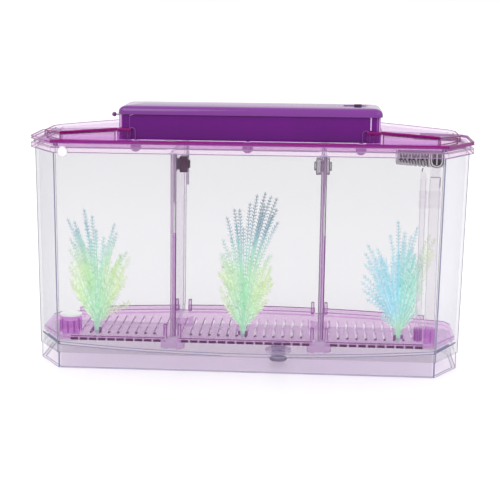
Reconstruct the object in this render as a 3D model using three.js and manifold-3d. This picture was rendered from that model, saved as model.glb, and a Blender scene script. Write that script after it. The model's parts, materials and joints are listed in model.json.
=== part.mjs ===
// A fish breeding box: a clear tank with cut corners on a clear base, a slotted tray with two
// dividers, three plastic plants and an air-lift filter, and a lid that carries a lamp.
// Millimetres, +Z up. The origin is on the table, under the middle of the box. The front is -Y.
import * as THREE from "three";
import { mergeVertices } from "three/addons/utils/BufferGeometryUtils.js";
import Module from "manifold-3d";

const wasm = await Module();
wasm.setup();

// Running gaps
const gap = 0.3;
const slideGap = 0.4;
const over = 2;

// Sides of the round solids
const roundBig = 32;
const roundMid = 24;
const roundSmall = 14;
const archSteps = 8;
const cornerSteps = 4;

// Tank, measured on the outside of the wall at its rim
const frontHalf = 115;
const cornerRun = 16.2;
const cornerDepth = 28.8;
const sideDepth = 44.2;
const backBow = 24;
const backCut = 6;
const wall = 2;
const wallDraft = 2.15;
const lipBottom = 9.6;
const rimBottom = 131.6;
const beadTop = 134.8;
const rimTop = 136.9;
const beadOut = 2.4;
const collarOut = 0.8;
const floorThick = 2;
const floorRise = 4.8;
const backSteps = 10;
const floorSteps = 20;

// Base ring under the tank
const baseInset = 2.9;
const baseWall = 2.4;
const nestWall = 1.4;

// Divider guides on the tank wall
const dividerPitch = 88.8;
const dividerThick = 1.6;
const guideBottom = 102.5;
const guideWall = 1.2;
const guideDepth = 3;
const notchRadius = 3;
const notchDepth = 0.8;

// Bottom tray
const trayTop = 20;
const trayThick = 1.6;
const trayEdge = 2.8;
const trayEdgeWall = 1.2;
const backRim = 2.6;
const slotPitch = 5.6;
const slotWidth = 1;
const slotsHalf = 19;
const frontBand = 13;
const frontSlot = 18;
const slotBridge = 6;
const backSlot = 22;
const edgeNotch = 0.9;
const postWidth = 2;
const postDepth = 2.4;
const postHeight = 7.4;
const postSpread = 8.6;
const footRadius = 7.4;
const footFront = 12;
const footBack = 75;
const prongRadius = 0.8;
const prongHeight = 2.4;
const prongSpread = 4.4;

// Tube sockets on the tray
const socketInset = 7.5;
const socketY = 15;
const socketRadius = 6.7;
const socketHeight = 7.5;
const capSocketHeight = 10;
const socketFoot = 1.5;
const socketFootOut = 0.9;
const capSocketBore = 5;
const capThick = 1.3;
const capOver = 0.1;
const capStem = 3;

// Air-lift filter
const tubeRadius = 3.1;
const tubeWall = 0.8;
const tubeBoreGap = 0.2;
const airRadius = 1.8;
const airWall = 0.7;
const tubeSpacing = 6.7;
const tubeJoint = 105.7;
const sleeveHalf = 5.1;
const sleeveRadius = 3.5;
const airSleeveRadius = 2.4;
const sleeveFlare = 0.3;
const airHookTop = 122;
const airHookRadius = 3.4;
const tubeInCage = 2;
const bendSteps = 14;

// Outlet cage on top of the lift tube
const cageDrop = 2.6;
const cageHeight = 9.3;
const cageTipLift = 2.2;
const cageLeft = 23.2;
const cageRight = 4.6;
const cageFront = 7.3;
const cageBack = 6.4;
const cageWall = 1;
const cageRound = 5;
const noseHalf = 3.5;
const noseOut = 1.4;
const cageSlot = 1.3;
const cageSlotPitch = 2.5;
const noseSlot = 1.05;
const noseRib = 0.6;
const cageRail = 2;
const boreDrop = 3;
const insertGap = 0.35;

// Air port in the tank's front wall
const portInset = 6;
const portDrop = 4.5;
const portHead = 2.6;
const portStem = 1.5;
const portHeadThick = 0.9;

// Dividers and their grips
const dividerTop = 133;
const gripY = 42;
const gripBottom = 116.5;
const gripHeight = 9.8;
const gripDepth = 8;
const gripCheek = 3;
const gripCheekLong = 5;
const gripCheekShort = 1;
const gripKnob = 1.2;
const gripWaist = 4;
const knobInset = 2.4;

// Drain in the tank floor
const drainX = 19.5;
const drainY = 30;
const drainHole = 4;
const drainFlange = 6.5;
const drainFlangeThick = 1.3;
const drainBore = 2.6;
const nutRadius = 8.1;
const nutThick = 1.3;
const sealThick = 0.8;
const plugRadius = 4.7;
const plugBottom = 1.6;
const plugWall = 1.2;
const plugRingOut = 0.5;
const plugRingHeight = 1.2;
const plugRingLift = 0.6;

// Lid
const lidOut = 2.4;
const lidThick = 1.8;
const roofInset = 5.8;
const roofWall = 1.6;
const tipRise = 3;
const ridgeRise = 6.6;
const lidLip = 2.2;
const lugWidth = 7;
const lugDrop = 4.6;
const lugPitch = 66;
const lugThick = 1.4;
const padHeight = 0.6;
const padWidth = 7;
const padDepth = 3.4;
const windowInset = 10;
const windowFront = 15;
const windowBack = 39;

// Lamp on the lid
const lampEnd = 7.8;
const lampFront = 7;
const lampDepth = 39;
const lampCorner = 4;
const lampWall = 1.8;
const capHeight = 5.8;
const cellHeadroom = 5.5;
const capOut = 1.1;
const capRound = 3.6;
const crown = 0.8;
const crownInset = 13;
const cornerLeast = 1;
const capLip = 2;
const lipWall = 1.4;
const lensThick = 1.4;
const lensLip = 1.6;
const boardThick = 1.6;
const boardLift = 2.6;
const ledCount = 6;
const ledRadius = 2.4;
const ledHeight = 1.1;
const cellRadius = 5.1;
const cellLength = 44;
const cellGap = 0.4;
const cellNub = 1.6;
const cellNubLength = 1;
const cellCount = 3;
const cradleWall = 1.2;
const buttonInset = 12;
const buttonY = 20;
const buttonRadius = 2.2;
const buttonRise = 0.9;
const buttonTravel = 1.2;
const buttonCollar = 1;
const switchSide = 7;
const panelLength = 17;
const panelDepth = 7;
const panelSink = 0.5;
const bossRadius = 2.6;
const bossBite = 0.3;
const bossDrop = 6.5;
const capBossRadius = 1.9;
const headGap = 0.1;
const screwRadius = 1.1;
const screwHead = 2;
const screwHeadThick = 1.2;
const pinRadius = 0.7;
const pinLength = 4.4;
const beadRadius = 1.4;
const pinDrop = 1.6;

// Plants
const plantY = 21;
const plantInset = 23;
const plantMiddle = 2;
const plantHeight = 88;
const plantSpread = 40;
const stemRadius = 2.4;
const stemHeight = 9;
const pegRadius = 1.2;
const pegLength = 2.2;
const leafWidth = 2.6;
const leafThick = 1.3;
const leafTipWidth = 0.9;
const leafSteps = 5;
const rootRows = 3;
const rootLowShare = 0.35;
const rootStepShare = 0.25;
const leafOutShare = 0.3;
const leafUpShare = 0.6;

// Colours of the materials
const clear = { color: 0xeeeef4, roughness: 0.08, metalness: 0 };
const lilac = { color: 0xd8c8e0, roughness: 0.12, metalness: 0 };
const purple = { color: 0xb070c0, roughness: 0.2, metalness: 0 };
const plum = { color: 0x5a1a5a, roughness: 0.35, metalness: 0 };
const lidPurple = { color: 0xc060c8, roughness: 0.12, metalness: 0 };
const lampPurple = { color: 0x6e1c7c, roughness: 0.2, metalness: 0 };
const capPurple = { color: 0x9141a5, roughness: 0.2, metalness: 0 };
const white = { color: 0xf2f2f2, roughness: 0.4, metalness: 0 };
const dark = { color: 0x2c262e, roughness: 0.6, metalness: 0 };
const greyClear = { color: 0xc8c4cc, roughness: 0.15, metalness: 0 };
const steel = { color: 0xb8b8bc, roughness: 0.3, metalness: 1 };
const board = { color: 0xe8ece8, roughness: 0.5, metalness: 0 };
const green = { color: 0x96e1be, roughness: 0.5, metalness: 0 };

// Places worked out from the sizes
const halfLength = frontHalf + cornerRun;
const tankDepth = cornerDepth + sideDepth + backBow;
const frontY = -tankDepth / 2;
const backY = tankDepth / 2;
const arcRadius = (halfLength * halfLength + backBow * backBow) / (2 * backBow);
const arcCentreY = backY - arcRadius;
const dividerX = dividerPitch / 2;
const lidBottom = rimTop + gap;
const lidTop = lidBottom + lidThick;
const roofTip = lidTop + tipRise;
const roofRidge = lidTop + ridgeRise;
const traySeat = trayTop - trayThick;
const socketX = frontHalf - socketInset;
const portX = frontHalf - portInset;
const portZ = rimTop - portDrop;
const liftX = socketX + (tubeSpacing + airRadius - tubeRadius) / 2;
const airX = liftX - tubeSpacing;
const tubeY = frontY + socketY;
const cageTop = rimTop - cageDrop;
const cageBottom = cageTop - cageHeight;
const tubeTop = cageBottom + tubeInCage;
const cellRowHalf = (cellLength + cellGap) * cellCount / 2;
const lampHalf = cellRowHalf + cellGap + cradleWall + lampEnd;
const windowHalf = lampHalf - windowInset;
const buttonX = lampHalf - buttonInset;
const lampBottom = lidTop + gap;
const lampFloor = lampBottom + lampWall;
const lensTop = lampFloor + gap + lensThick;
const cellZ = lensTop + gap + cradleWall + cellRadius;
const lampTop = cellZ + cellRadius + cellHeadroom;
const lampSplit = lampTop - capHeight;

const group = new THREE.Group();

// Solids

function solid(geometry) {
  const bare = geometry.index ? geometry.clone() : geometry;
  bare.deleteAttribute("normal");
  bare.deleteAttribute("uv");
  const merged = mergeVertices(bare);
  return new wasm.Manifold(new wasm.Mesh({
    numProp: 3,
    vertProperties: new Float32Array(merged.attributes.position.array),
    triVerts: new Uint32Array(merged.index.array),
  }));
}

function add(name, shape, look) {
  const data = shape.getMesh();
  const geometry = new THREE.BufferGeometry();
  geometry.setAttribute("position", new THREE.BufferAttribute(new Float32Array(data.vertProperties), 3));
  geometry.setIndex(new THREE.BufferAttribute(new Uint32Array(data.triVerts), 1));
  geometry.computeVertexNormals();
  const mesh = new THREE.Mesh(geometry, new THREE.MeshStandardMaterial(look));
  mesh.name = name;
  group.add(mesh);
}

function cutAll(shape, tools) {
  return tools.reduce((left, tool) => left.subtract(tool), shape);
}

function joinAll(shapes) {
  return shapes.reduce((left, tool) => left.add(tool));
}

function block(x0, x1, y0, y1, z0, z1) {
  const geometry = new THREE.BoxGeometry(x1 - x0, y1 - y0, z1 - z0);
  geometry.translate((x0 + x1) / 2, (y0 + y1) / 2, (z0 + z1) / 2);
  return solid(geometry);
}

function rod(x, y, z0, z1, radius, sides = roundMid, topRadius = radius) {
  const geometry = new THREE.CylinderGeometry(topRadius, radius, z1 - z0, sides);
  geometry.rotateX(Math.PI / 2);
  geometry.translate(x, y, (z0 + z1) / 2);
  return solid(geometry);
}

function rodY(x, z, y0, y1, radius, sides = roundMid) {
  const geometry = new THREE.CylinderGeometry(radius, radius, y1 - y0, sides);
  geometry.translate(x, (y0 + y1) / 2, z);
  return solid(geometry);
}

function rodX(x0, x1, y, z, radius, sides = roundMid) {
  const geometry = new THREE.CylinderGeometry(radius, radius, x1 - x0, sides);
  geometry.rotateZ(-Math.PI / 2);
  geometry.translate((x0 + x1) / 2, y, z);
  return solid(geometry);
}

function shapeOf(points) {
  return new THREE.Shape(points.map(([a, b]) => new THREE.Vector2(a, b)));
}

// An outline in x and z, drawn through from y0 to y1
function drawnAlongY(points, y0, y1) {
  const geometry = new THREE.ExtrudeGeometry(shapeOf(points), { depth: y1 - y0, bevelEnabled: false });
  geometry.rotateX(Math.PI / 2);
  geometry.translate(0, y1, 0);
  return solid(geometry);
}

// An outline in y and z, drawn through from x0 to x1
function drawnAlongX(points, x0, x1) {
  const geometry = new THREE.ExtrudeGeometry(shapeOf(points), { depth: x1 - x0, bevelEnabled: false });
  const turn = new THREE.Matrix4().makeBasis(
    new THREE.Vector3(0, 1, 0),
    new THREE.Vector3(0, 0, 1),
    new THREE.Vector3(1, 0, 0),
  );
  geometry.applyMatrix4(turn);
  geometry.translate(x0, 0, 0);
  return solid(geometry);
}

// A closed skin over rings of points, lowest ring first, each ring anticlockwise from above
function loft(rings) {
  const count = rings[0].length;
  const positions = rings.flat(2);
  const index = [];
  for (let level = 0; level + 1 < rings.length; level += 1) {
    for (let i = 0; i < count; i += 1) {
      const a = level * count + i;
      const b = level * count + (i + 1) % count;
      index.push(a, b, b + count, a, b + count, a + count);
    }
  }
  const last = (rings.length - 1) * count;
  for (let i = 1; i + 1 < count; i += 1) {
    index.push(0, i + 1, i);
    index.push(last, last + i, last + i + 1);
  }
  const geometry = new THREE.BufferGeometry();
  geometry.setAttribute("position", new THREE.Float32BufferAttribute(positions, 3));
  geometry.setIndex(index);
  return solid(geometry);
}

// The tank's plan, moved outward by an offset: straight front, cut corners, straight sides, bowed back
function plan(offset) {
  const run = Math.hypot(cornerRun, cornerDepth);
  const nx = cornerDepth / run;
  const ny = -cornerRun / run;
  const reach = nx * frontHalf + ny * frontY + offset;
  const yFront = frontY - offset;
  const xFront = (reach - ny * yFront) / nx;
  const xSide = halfLength + offset;
  const ySide = (reach - nx * xSide) / ny;
  const radius = arcRadius + offset;
  const yCut = arcCentreY + Math.sqrt(radius * radius - xSide * xSide) - backCut;
  const swing = Math.asin((xSide - backCut / 2) / radius);
  const points = [[-xFront, yFront], [xFront, yFront], [xSide, ySide], [xSide, yCut]];
  for (let i = 0; i <= backSteps; i += 1) {
    const angle = swing * (1 - 2 * i / backSteps);
    points.push([radius * Math.sin(angle), arcCentreY + radius * Math.cos(angle)]);
  }
  points.push([-xSide, yCut], [-xSide, ySide]);
  return points;
}

function ring(offset, z) {
  return plan(offset).map(([x, y]) => [x, y, z]);
}

function planBlock(offset, z0, z1) {
  return loft([ring(offset, z0), ring(offset, z1)]);
}

// How far the drafted wall's outer face stands from its place at the rim
function draftAt(z) {
  return -wallDraft * (rimBottom - z) / (rimBottom - lipBottom);
}

function backWallY(x, offset) {
  const radius = arcRadius + offset;
  return arcCentreY + Math.sqrt(radius * radius - x * x);
}

// The dished floor's curve, level at the lip in the middle and higher at both ends
function floorLine(x, lift) {
  return lipBottom + floorRise * (x / frontHalf) ** 2 + lift;
}

// Everything above (side 1) or below (side -1) the dished floor's curve
function floorRegion(lift, side) {
  const reach = halfLength + beadOut + over;
  const points = [];
  for (let i = 0; i <= floorSteps; i += 1) {
    const x = reach * (2 * i / floorSteps - 1);
    points.push([x, floorLine(x, lift)]);
  }
  const far = side > 0 ? rimTop + tankDepth : -tankDepth;
  points.push([reach, far], [-reach, far]);
  return drawnAlongY(points, frontY - beadOut - over, backY + beadOut + over);
}

// Tank

function guides(side) {
  const x = side * dividerX;
  const half = dividerThick / 2 + gap;
  const front = frontY + wall - over / 2;
  const back = backWallY(x, -wall);
  const ribs = [];
  for (const edge of [-1, 1]) {
    const inner = x + edge * half;
    const outer = x + edge * (half + guideWall);
    const x0 = Math.min(inner, outer);
    const x1 = Math.max(inner, outer);
    ribs.push(block(x0, x1, front, frontY + wall + guideDepth, guideBottom, rimBottom));
    ribs.push(block(x0, x1, back - guideDepth, back + over / 2, guideBottom, rimBottom));
  }
  return ribs;
}

function makeTank() {
  const outside = loft([
    ring(draftAt(lipBottom), lipBottom),
    ring(0, rimBottom),
    ring(beadOut, rimBottom + gap),
    ring(beadOut, beadTop),
    ring(collarOut, beadTop + gap),
    ring(collarOut, rimTop),
  ]);
  const inside = loft([
    ring(draftAt(lipBottom) - wall, lipBottom),
    ring(-wall, rimBottom),
    ring(-wall, rimTop + over),
  ]);
  const under = planBlock(draftAt(lipBottom) - wall, lipBottom - over, floorLine(halfLength, over));
  const tools = [
    inside.intersect(floorRegion(floorThick, 1)),
    under.intersect(floorRegion(0, -1)),
    rod(drainX, frontY + drainY, 0, lipBottom + floorRise, drainHole),
    rodY(-portX, portZ, frontY - beadOut - over, frontY + wall + over, portStem + gap),
    rodY(-portX, portZ, frontY - beadOut - over, frontY - beadOut + portHeadThick, portHead + gap),
  ];
  for (const side of [-1, 1]) {
    const face = frontY - beadOut;
    tools.push(rodY(side * dividerX, beadTop - notchRadius / 2, face - over, face + notchDepth, notchRadius));
  }
  return joinAll([cutAll(outside, tools), ...guides(-1), ...guides(1)]);
}

function makeBase() {
  const outer = planBlock(-baseInset, 0, lipBottom);
  const inner = planBlock(-baseInset - baseWall, -over, lipBottom + over);
  const nestOut = draftAt(lipBottom) - wall - gap;
  const nestOuter = planBlock(nestOut, lipBottom - over, floorLine(halfLength, over));
  const nestInner = planBlock(nestOut - nestWall, lipBottom - over - over, floorLine(halfLength, over + over));
  const nest = nestOuter.subtract(nestInner).intersect(floorRegion(-gap, -1));
  return outer.subtract(inner).add(nest);
}

// Drain

function makeDrain() {
  const y = frontY + drainY;
  const underside = floorLine(drainX, 0);
  const inside = floorLine(drainX + drainFlange, floorThick) + gap;
  const nutTop = underside - sealThick - gap;
  const nutBottom = nutTop - nutThick;
  const flangeTop = inside + drainFlangeThick;
  const bushBottom = nutBottom - gap;
  const tubeOut = drainHole - gap;
  const flange = rod(drainX, y, inside, flangeTop, drainFlange, roundBig);
  const bush = flange.add(rod(drainX, y, bushBottom, flangeTop, tubeOut, roundBig));
  add("drain_bush", bush.subtract(rod(drainX, y, bushBottom - over, flangeTop + over, drainBore)), greyClear);
  const seal = rod(drainX, y, nutTop, nutTop + sealThick, nutRadius - gap, roundBig);
  add("drain_seal", seal.subtract(rod(drainX, y, 0, lipBottom + over, drainHole)), dark);
  const nut = rod(drainX, y, nutBottom, nutTop - gap / 2, nutRadius, roundBig);
  add("drain_nut", nut.subtract(rod(drainX, y, 0, lipBottom + over, drainHole)), greyClear);
  const plugTop = bushBottom - gap;
  const stem = rod(drainX, y, plugBottom, inside, drainBore - slideGap);
  const wingHalf = plugRadius - plugWall;
  const wingY = y - plugWall / 2;
  const wings = block(drainX - wingHalf, drainX + wingHalf, wingY, wingY + plugWall, plugBottom, plugTop);
  const cup = rod(drainX, y, plugBottom, plugTop, plugRadius, roundBig)
    .subtract(rod(drainX, y, plugBottom - over, plugTop - plugWall, plugRadius - plugWall, roundBig));
  add("drain_plug", joinAll([cup, stem, wings]), greyClear);
  const ringBottom = plugBottom + plugRingLift;
  const ringIn = plugRadius + gap / 2;
  const band = rod(drainX, y, ringBottom, ringBottom + plugRingHeight, ringIn + plugRingOut, roundBig);
  add("plug_ring", band.subtract(rod(drainX, y, 0, lipBottom, ringIn, roundBig)), dark);
}

function makePortPlug() {
  const face = frontY - beadOut;
  const head = rodY(-portX, portZ, face, face + portHeadThick - gap, portHead);
  const stem = rodY(-portX, portZ, face, frontY + wall, portStem);
  add("port_plug", head.add(stem), white);
}

// Tray

function trayOffset(z) {
  return draftAt(z) - wall - slideGap;
}

function slotTools() {
  const tools = [];
  const front = frontY - trayOffset(trayTop);
  const rows = [
    [front + frontBand, front + frontBand + frontSlot],
    [front + frontBand + frontSlot + slotBridge, front + frontBand + frontSlot + slotBridge + backSlot],
  ];
  for (let i = -slotsHalf; i <= slotsHalf; i += 1) {
    const x = i * slotPitch;
    const edge = x - slotPitch / 2;
    if (Math.abs(edge) < frontHalf - socketFootOut - slotPitch) {
      tools.push(block(edge - edgeNotch / 2, edge + edgeNotch / 2, front - over, front + edgeNotch,
        trayTop - trayEdge - over, trayTop + over));
    }
    for (const [y0, y1] of rows) {
      const overFoot = [-1, 1].some((side) => Math.abs(x - side * dividerX) < footRadius + slotWidth);
      const byFoot = overFoot && (y0 < frontY + footFront + footRadius);
      const bySocket = Math.abs(Math.abs(x) - socketX) < socketRadius + socketFootOut + slotWidth;
      const pastSocket = tubeY + socketRadius + socketFootOut + slotWidth;
      const from = byFoot || bySocket ? Math.max(y0, pastSocket) : y0;
      const to = overFoot ? Math.min(y1, frontY + footBack - footRadius - slotWidth) : y1;
      if (to - from > slotBridge) {
        tools.push(block(x - slotWidth / 2, x + slotWidth / 2, from, to, traySeat - over, trayTop + over));
      }
    }
  }
  return tools;
}

function makeTray() {
  const bottom = trayTop - trayEdge;
  const slab = loft([ring(trayOffset(bottom), bottom), ring(trayOffset(bottom), trayTop)]);
  const hollow = planBlock(trayOffset(bottom) - trayEdgeWall, bottom - over, traySeat);
  const rimOuter = planBlock(trayOffset(bottom), traySeat, trayTop + backRim);
  const rimInner = planBlock(trayOffset(bottom) - trayEdgeWall, traySeat - over, trayTop + backRim + over);
  const rimBackOnly = block(-halfLength, halfLength, frontY + footBack, backY, 0, rimTop);
  const parts = [slab.subtract(hollow), rimOuter.subtract(rimInner).intersect(rimBackOnly)];
  const front = frontY - trayOffset(bottom);
  const postClear = guideDepth + slideGap + slideGap;
  for (const side of [-1, 1]) {
    const x = side * dividerX;
    for (const along of [footFront, footBack]) {
      parts.push(rod(x, frontY + along, lipBottom, traySeat + trayThick / 2, footRadius, roundBig));
    }
    for (const edge of [-1, 1]) {
      const centre = x + edge * postSpread / 2;
      const backFace = backWallY(x, trayOffset(bottom));
      for (const y of [front + postClear, backFace - postClear - postDepth]) {
        const x0 = centre - postWidth / 2;
        parts.push(block(x0, x0 + postWidth, y, y + postDepth, traySeat, trayTop + postHeight));
      }
    }
  }
  const tops = { [-1]: capSocketHeight, 1: socketHeight };
  for (const side of [-1, 1]) {
    const x = side * socketX;
    parts.push(rod(x, tubeY, bottom, trayTop + tops[side], socketRadius, roundBig));
    parts.push(rod(x, tubeY, traySeat, trayTop + socketFoot, socketRadius + socketFootOut, roundBig));
  }
  for (const [x] of plantPlaces) {
    for (const edge of [-1, 1]) {
      const centre = x + edge * prongSpread / 2;
      const prongY = frontY + plantY - stemRadius - prongRadius;
      parts.push(rod(centre, prongY, traySeat, trayTop + prongHeight, prongRadius, roundSmall));
    }
  }
  const tools = slotTools();
  for (const side of [-1, 1]) {
    const half = dividerThick / 2 + gap + guideWall + slideGap;
    const x = side * dividerX;
    const backFace = backWallY(x, trayOffset(bottom));
    const notchBack = front + guideDepth + slideGap;
    tools.push(block(x - half, x + half, front - over, notchBack, lipBottom, trayTop + over));
    tools.push(block(x - half, x + half, backFace - guideDepth - slideGap, backY, bottom - over, rimTop));
  }
  for (const [x] of plantPlaces) {
    tools.push(rod(x, frontY + plantY, bottom - over, trayTop + over, pegRadius + gap, roundSmall));
  }
  const high = trayTop + capSocketHeight + over;
  tools.push(rod(-socketX, tubeY, bottom - over, high, capSocketBore, roundBig));
  tools.push(rod(liftX, tubeY, bottom - over, high, tubeRadius + tubeBoreGap, roundMid));
  tools.push(rod(airX, tubeY, trayTop, high, airRadius + tubeBoreGap, roundSmall));
  return cutAll(joinAll(parts), tools).intersect(floorRegion(floorThick + gap, 1));
}

function makeSocketCap() {
  const seat = trayTop + capSocketHeight + gap;
  const disc = rod(-socketX, tubeY, seat, seat + capThick, socketRadius + capOver, roundBig);
  const stem = rod(-socketX, tubeY, seat - capStem, seat + capThick / 2, capSocketBore - slideGap, roundBig);
  const bore = capSocketBore - slideGap - capThick;
  const hollow = rod(-socketX, tubeY, seat - capStem - over, seat, bore, roundMid);
  add("socket_cap", disc.add(stem).subtract(hollow), white);
}

// Filter

function pipe(x, z0, z1, outer, bore, sides = roundMid) {
  return rod(x, tubeY, z0, z1, outer, sides).subtract(rod(x, tubeY, z0 - over, z1 + over, bore, sides));
}

function makeAirLine() {
  const bottom = tubeJoint + gap / 2;
  const straight = airHookTop - airHookRadius - airRadius;
  const bend = new THREE.CurvePath();
  const middle = new THREE.Vector3(airX, tubeY, bottom);
  const start = new THREE.Vector3(airX, tubeY, straight);
  const turn = new THREE.Vector3(airX, tubeY, airHookTop - airRadius);
  const end = new THREE.Vector3(airX, tubeY + airHookRadius, airHookTop - airRadius);
  bend.add(new THREE.LineCurve3(middle, start));
  bend.add(new THREE.QuadraticBezierCurve3(start, turn, end));
  const along = { steps: bendSteps, extrudePath: bend };
  const boreRadius = airRadius - airWall;
  const outer = new THREE.ExtrudeGeometry(roundSection(airRadius, roundSmall), along);
  const bore = new THREE.ExtrudeGeometry(roundSection(boreRadius, roundSmall), along);
  const mouth = rodY(airX, airHookTop - airRadius, end.y - airRadius, end.y + over, boreRadius, roundSmall);
  const foot = rod(airX, tubeY, bottom - over, bottom + over, boreRadius, roundSmall);
  return cutAll(solid(outer), [solid(bore), mouth, foot]);
}

function roundSection(radius, sides) {
  const points = [];
  for (let i = 0; i < sides; i += 1) {
    const angle = 2 * Math.PI * i / sides;
    points.push([radius * Math.cos(angle), radius * Math.sin(angle)]);
  }
  return shapeOf(points);
}

function makeFilter() {
  const foot = trayTop + gap;
  const airBore = airRadius - airWall;
  const liftBore = tubeRadius - tubeWall;
  const below = tubeJoint - gap / 2;
  const above = tubeJoint + gap / 2;
  add("airline_lower", pipe(airX, foot, below, airRadius, airBore, roundSmall), greyClear);
  add("airline_upper", makeAirLine(), greyClear);
  add("uplift_lower", pipe(liftX, traySeat, below, tubeRadius, liftBore, roundMid), clear);
  add("uplift_upper", pipe(liftX, above, tubeTop, tubeRadius, liftBore, roundMid), clear);
  const low = tubeJoint - sleeveHalf;
  const high = tubeJoint + sleeveHalf;
  const lift = rod(liftX, tubeY, low, high, sleeveRadius + sleeveFlare, roundBig, sleeveRadius);
  const liftFit = tubeRadius + gap / 2;
  add("uplift_sleeve", lift.subtract(rod(liftX, tubeY, low - over, high + over, liftFit, roundMid)), white);
  const air = rod(airX, tubeY, low, high, airSleeveRadius, roundMid, airSleeveRadius - sleeveFlare / 2);
  const airFit = airRadius + gap / 2;
  add("airline_sleeve", air.subtract(rod(airX, tubeY, low - over, high + over, airFit, roundSmall)), white);
}

// The cage's end view in y and z, drawn in by an inset: open top, round bottom
function troughOutline(inset, top) {
  const front = tubeY - cageFront + inset;
  const back = tubeY + cageBack - inset;
  const points = [[back, top], [front, top]];
  for (let i = 0; i <= archSteps; i += 1) {
    const angle = Math.PI + Math.PI * i / archSteps;
    const y = (back + front) / 2 + (back - front) / 2 * Math.cos(angle);
    points.push([y, cageBottom + cageRound + (cageRound - inset) * Math.sin(angle)]);
  }
  return points;
}

function makeCage() {
  const left = liftX - cageLeft;
  const right = liftX + cageRight;
  const front = tubeY - cageFront;
  const back = tubeY + cageBack;
  const noseFront = front - noseOut;
  const slope = [
    [left - over, cageBottom + cageTipLift], [liftX - noseHalf, cageBottom], [right + over, cageBottom],
    [right + over, cageTop + over], [left - over, cageTop + over],
  ];
  const keep = drawnAlongY(slope, front - noseOut - over, back + over);
  const body = drawnAlongX(troughOutline(0, cageTop), left, right).intersect(keep);
  const innerKeep = drawnAlongY(slope.map(([x, z]) => [x, z < cageTop ? z + cageWall : z]), front, back);
  const inner = drawnAlongX(troughOutline(cageWall, cageTop + over), left + cageWall, right - cageWall)
    .intersect(innerKeep);
  const noseOutline = (inset, top) => {
    const half = noseHalf - inset;
    const points = [[half, top]];
    const centreZ = cageBottom + noseHalf;
    for (let i = 0; i <= archSteps; i += 1) {
      const angle = -Math.PI * i / archSteps;
      points.push([half * Math.cos(angle), centreZ + half * Math.sin(angle)]);
    }
    points.push([-half, top]);
    return points.reverse().map(([x, z]) => [liftX + x, z]);
  };
  const nose = drawnAlongY(noseOutline(0, cageTop), noseFront, front + cageWall);
  const noseInner = drawnAlongY(noseOutline(cageWall, cageTop - cageWall), noseFront + cageWall, tubeY);
  const tools = [inner, noseInner];
  for (let x = left + cageSlotPitch; x < liftX - noseHalf - cageSlot; x += cageSlotPitch) {
    const middle = (cageTop + cageBottom) / 2;
    const x0 = x - cageSlot / 2;
    const x1 = x + cageSlot / 2;
    tools.push(block(x0, x1, front - over, front + cageWall + over, middle, cageTop - cageRail));
    tools.push(block(x0, x1, front + over, back - over, cageBottom - over, middle - cageWall));
  }
  for (const i of [-1, 0, 1]) {
    const x = liftX + i * (noseSlot + noseRib);
    const sink = i === 0 ? cageWall : cageRail;
    tools.push(block(x - noseSlot / 2, x + noseSlot / 2, noseFront - over, noseFront + cageWall + over,
      cageBottom + sink, cageTop - cageRail));
  }
  tools.push(rod(liftX, tubeY, cageBottom - over, cageTop - boreDrop, tubeRadius + gap, roundMid));
  add("outlet_cage", cutAll(body.add(nose), tools), greyClear);
  const play = insertGap + cageWall;
  const spongeKeep = drawnAlongY(slope.map(([x, z]) => [x, z < cageTop ? z + play : z]), front, back);
  const spongeEnd = liftX - tubeRadius - cageWall;
  const sponge = drawnAlongX(troughOutline(play, cageTop - cageWall), left + play, spongeEnd);
  add("filter_sponge", sponge.intersect(spongeKeep), dark);
}

// Dividers

// The cheek on each side of the sheet is named [left, right]
function makeDivider(side, name, cheekReach) {
  const x = side * dividerX;
  const bottom = trayTop + gap;
  const frontAt = (z) => frontY - draftAt(Math.min(z, rimBottom)) + wall + slideGap;
  const backAt = (z) => backWallY(x, draftAt(Math.min(z, rimBottom)) - wall - slideGap);
  const outline = [
    [frontAt(bottom), bottom],
    [backAt(bottom) - guideDepth, bottom],
    [backAt(bottom) - guideDepth, trayTop + backRim + gap],
    [backAt(trayTop + backRim), trayTop + backRim + gap],
    [backAt(rimBottom), rimBottom],
    [backAt(rimBottom), dividerTop],
    [frontAt(rimBottom), dividerTop],
    [frontAt(rimBottom), rimBottom],
  ];
  const sheet = drawnAlongX(outline, x - dividerThick / 2, x + dividerThick / 2);
  const y = frontY + gripY;
  const top = gripBottom + gripHeight;
  const waist = (grow) => {
    const half = gripWaist / 2;
    const z0 = gripBottom + half - grow;
    const z1 = top - half + grow;
    return block(x - dividerThick, x + dividerThick, y - half - grow, y + half + grow, z0, z1);
  };
  add(name, sheet.subtract(waist(gap)), clear);
  const cheeks = [];
  [-1, 1].forEach((edge, i) => {
    const inner = x + edge * (dividerThick / 2 + gap);
    const outer = inner + edge * cheekReach[i];
    const knob = outer + edge * gripKnob;
    const y0 = y - gripDepth / 2;
    cheeks.push(block(Math.min(inner, outer), Math.max(inner, outer), y0, y0 + gripDepth, gripBottom, top));
    if (cheekReach[i] > gripKnob) {
      cheeks.push(block(Math.min(inner, knob), Math.max(inner, knob), y - gripWaist / 2, y + gripWaist / 2,
        gripBottom + knobInset, top - knobInset));
    }
  });
  add(name.replace("divider", "grip"), joinAll([waist(0), ...cheeks]), plum);
}

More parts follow.
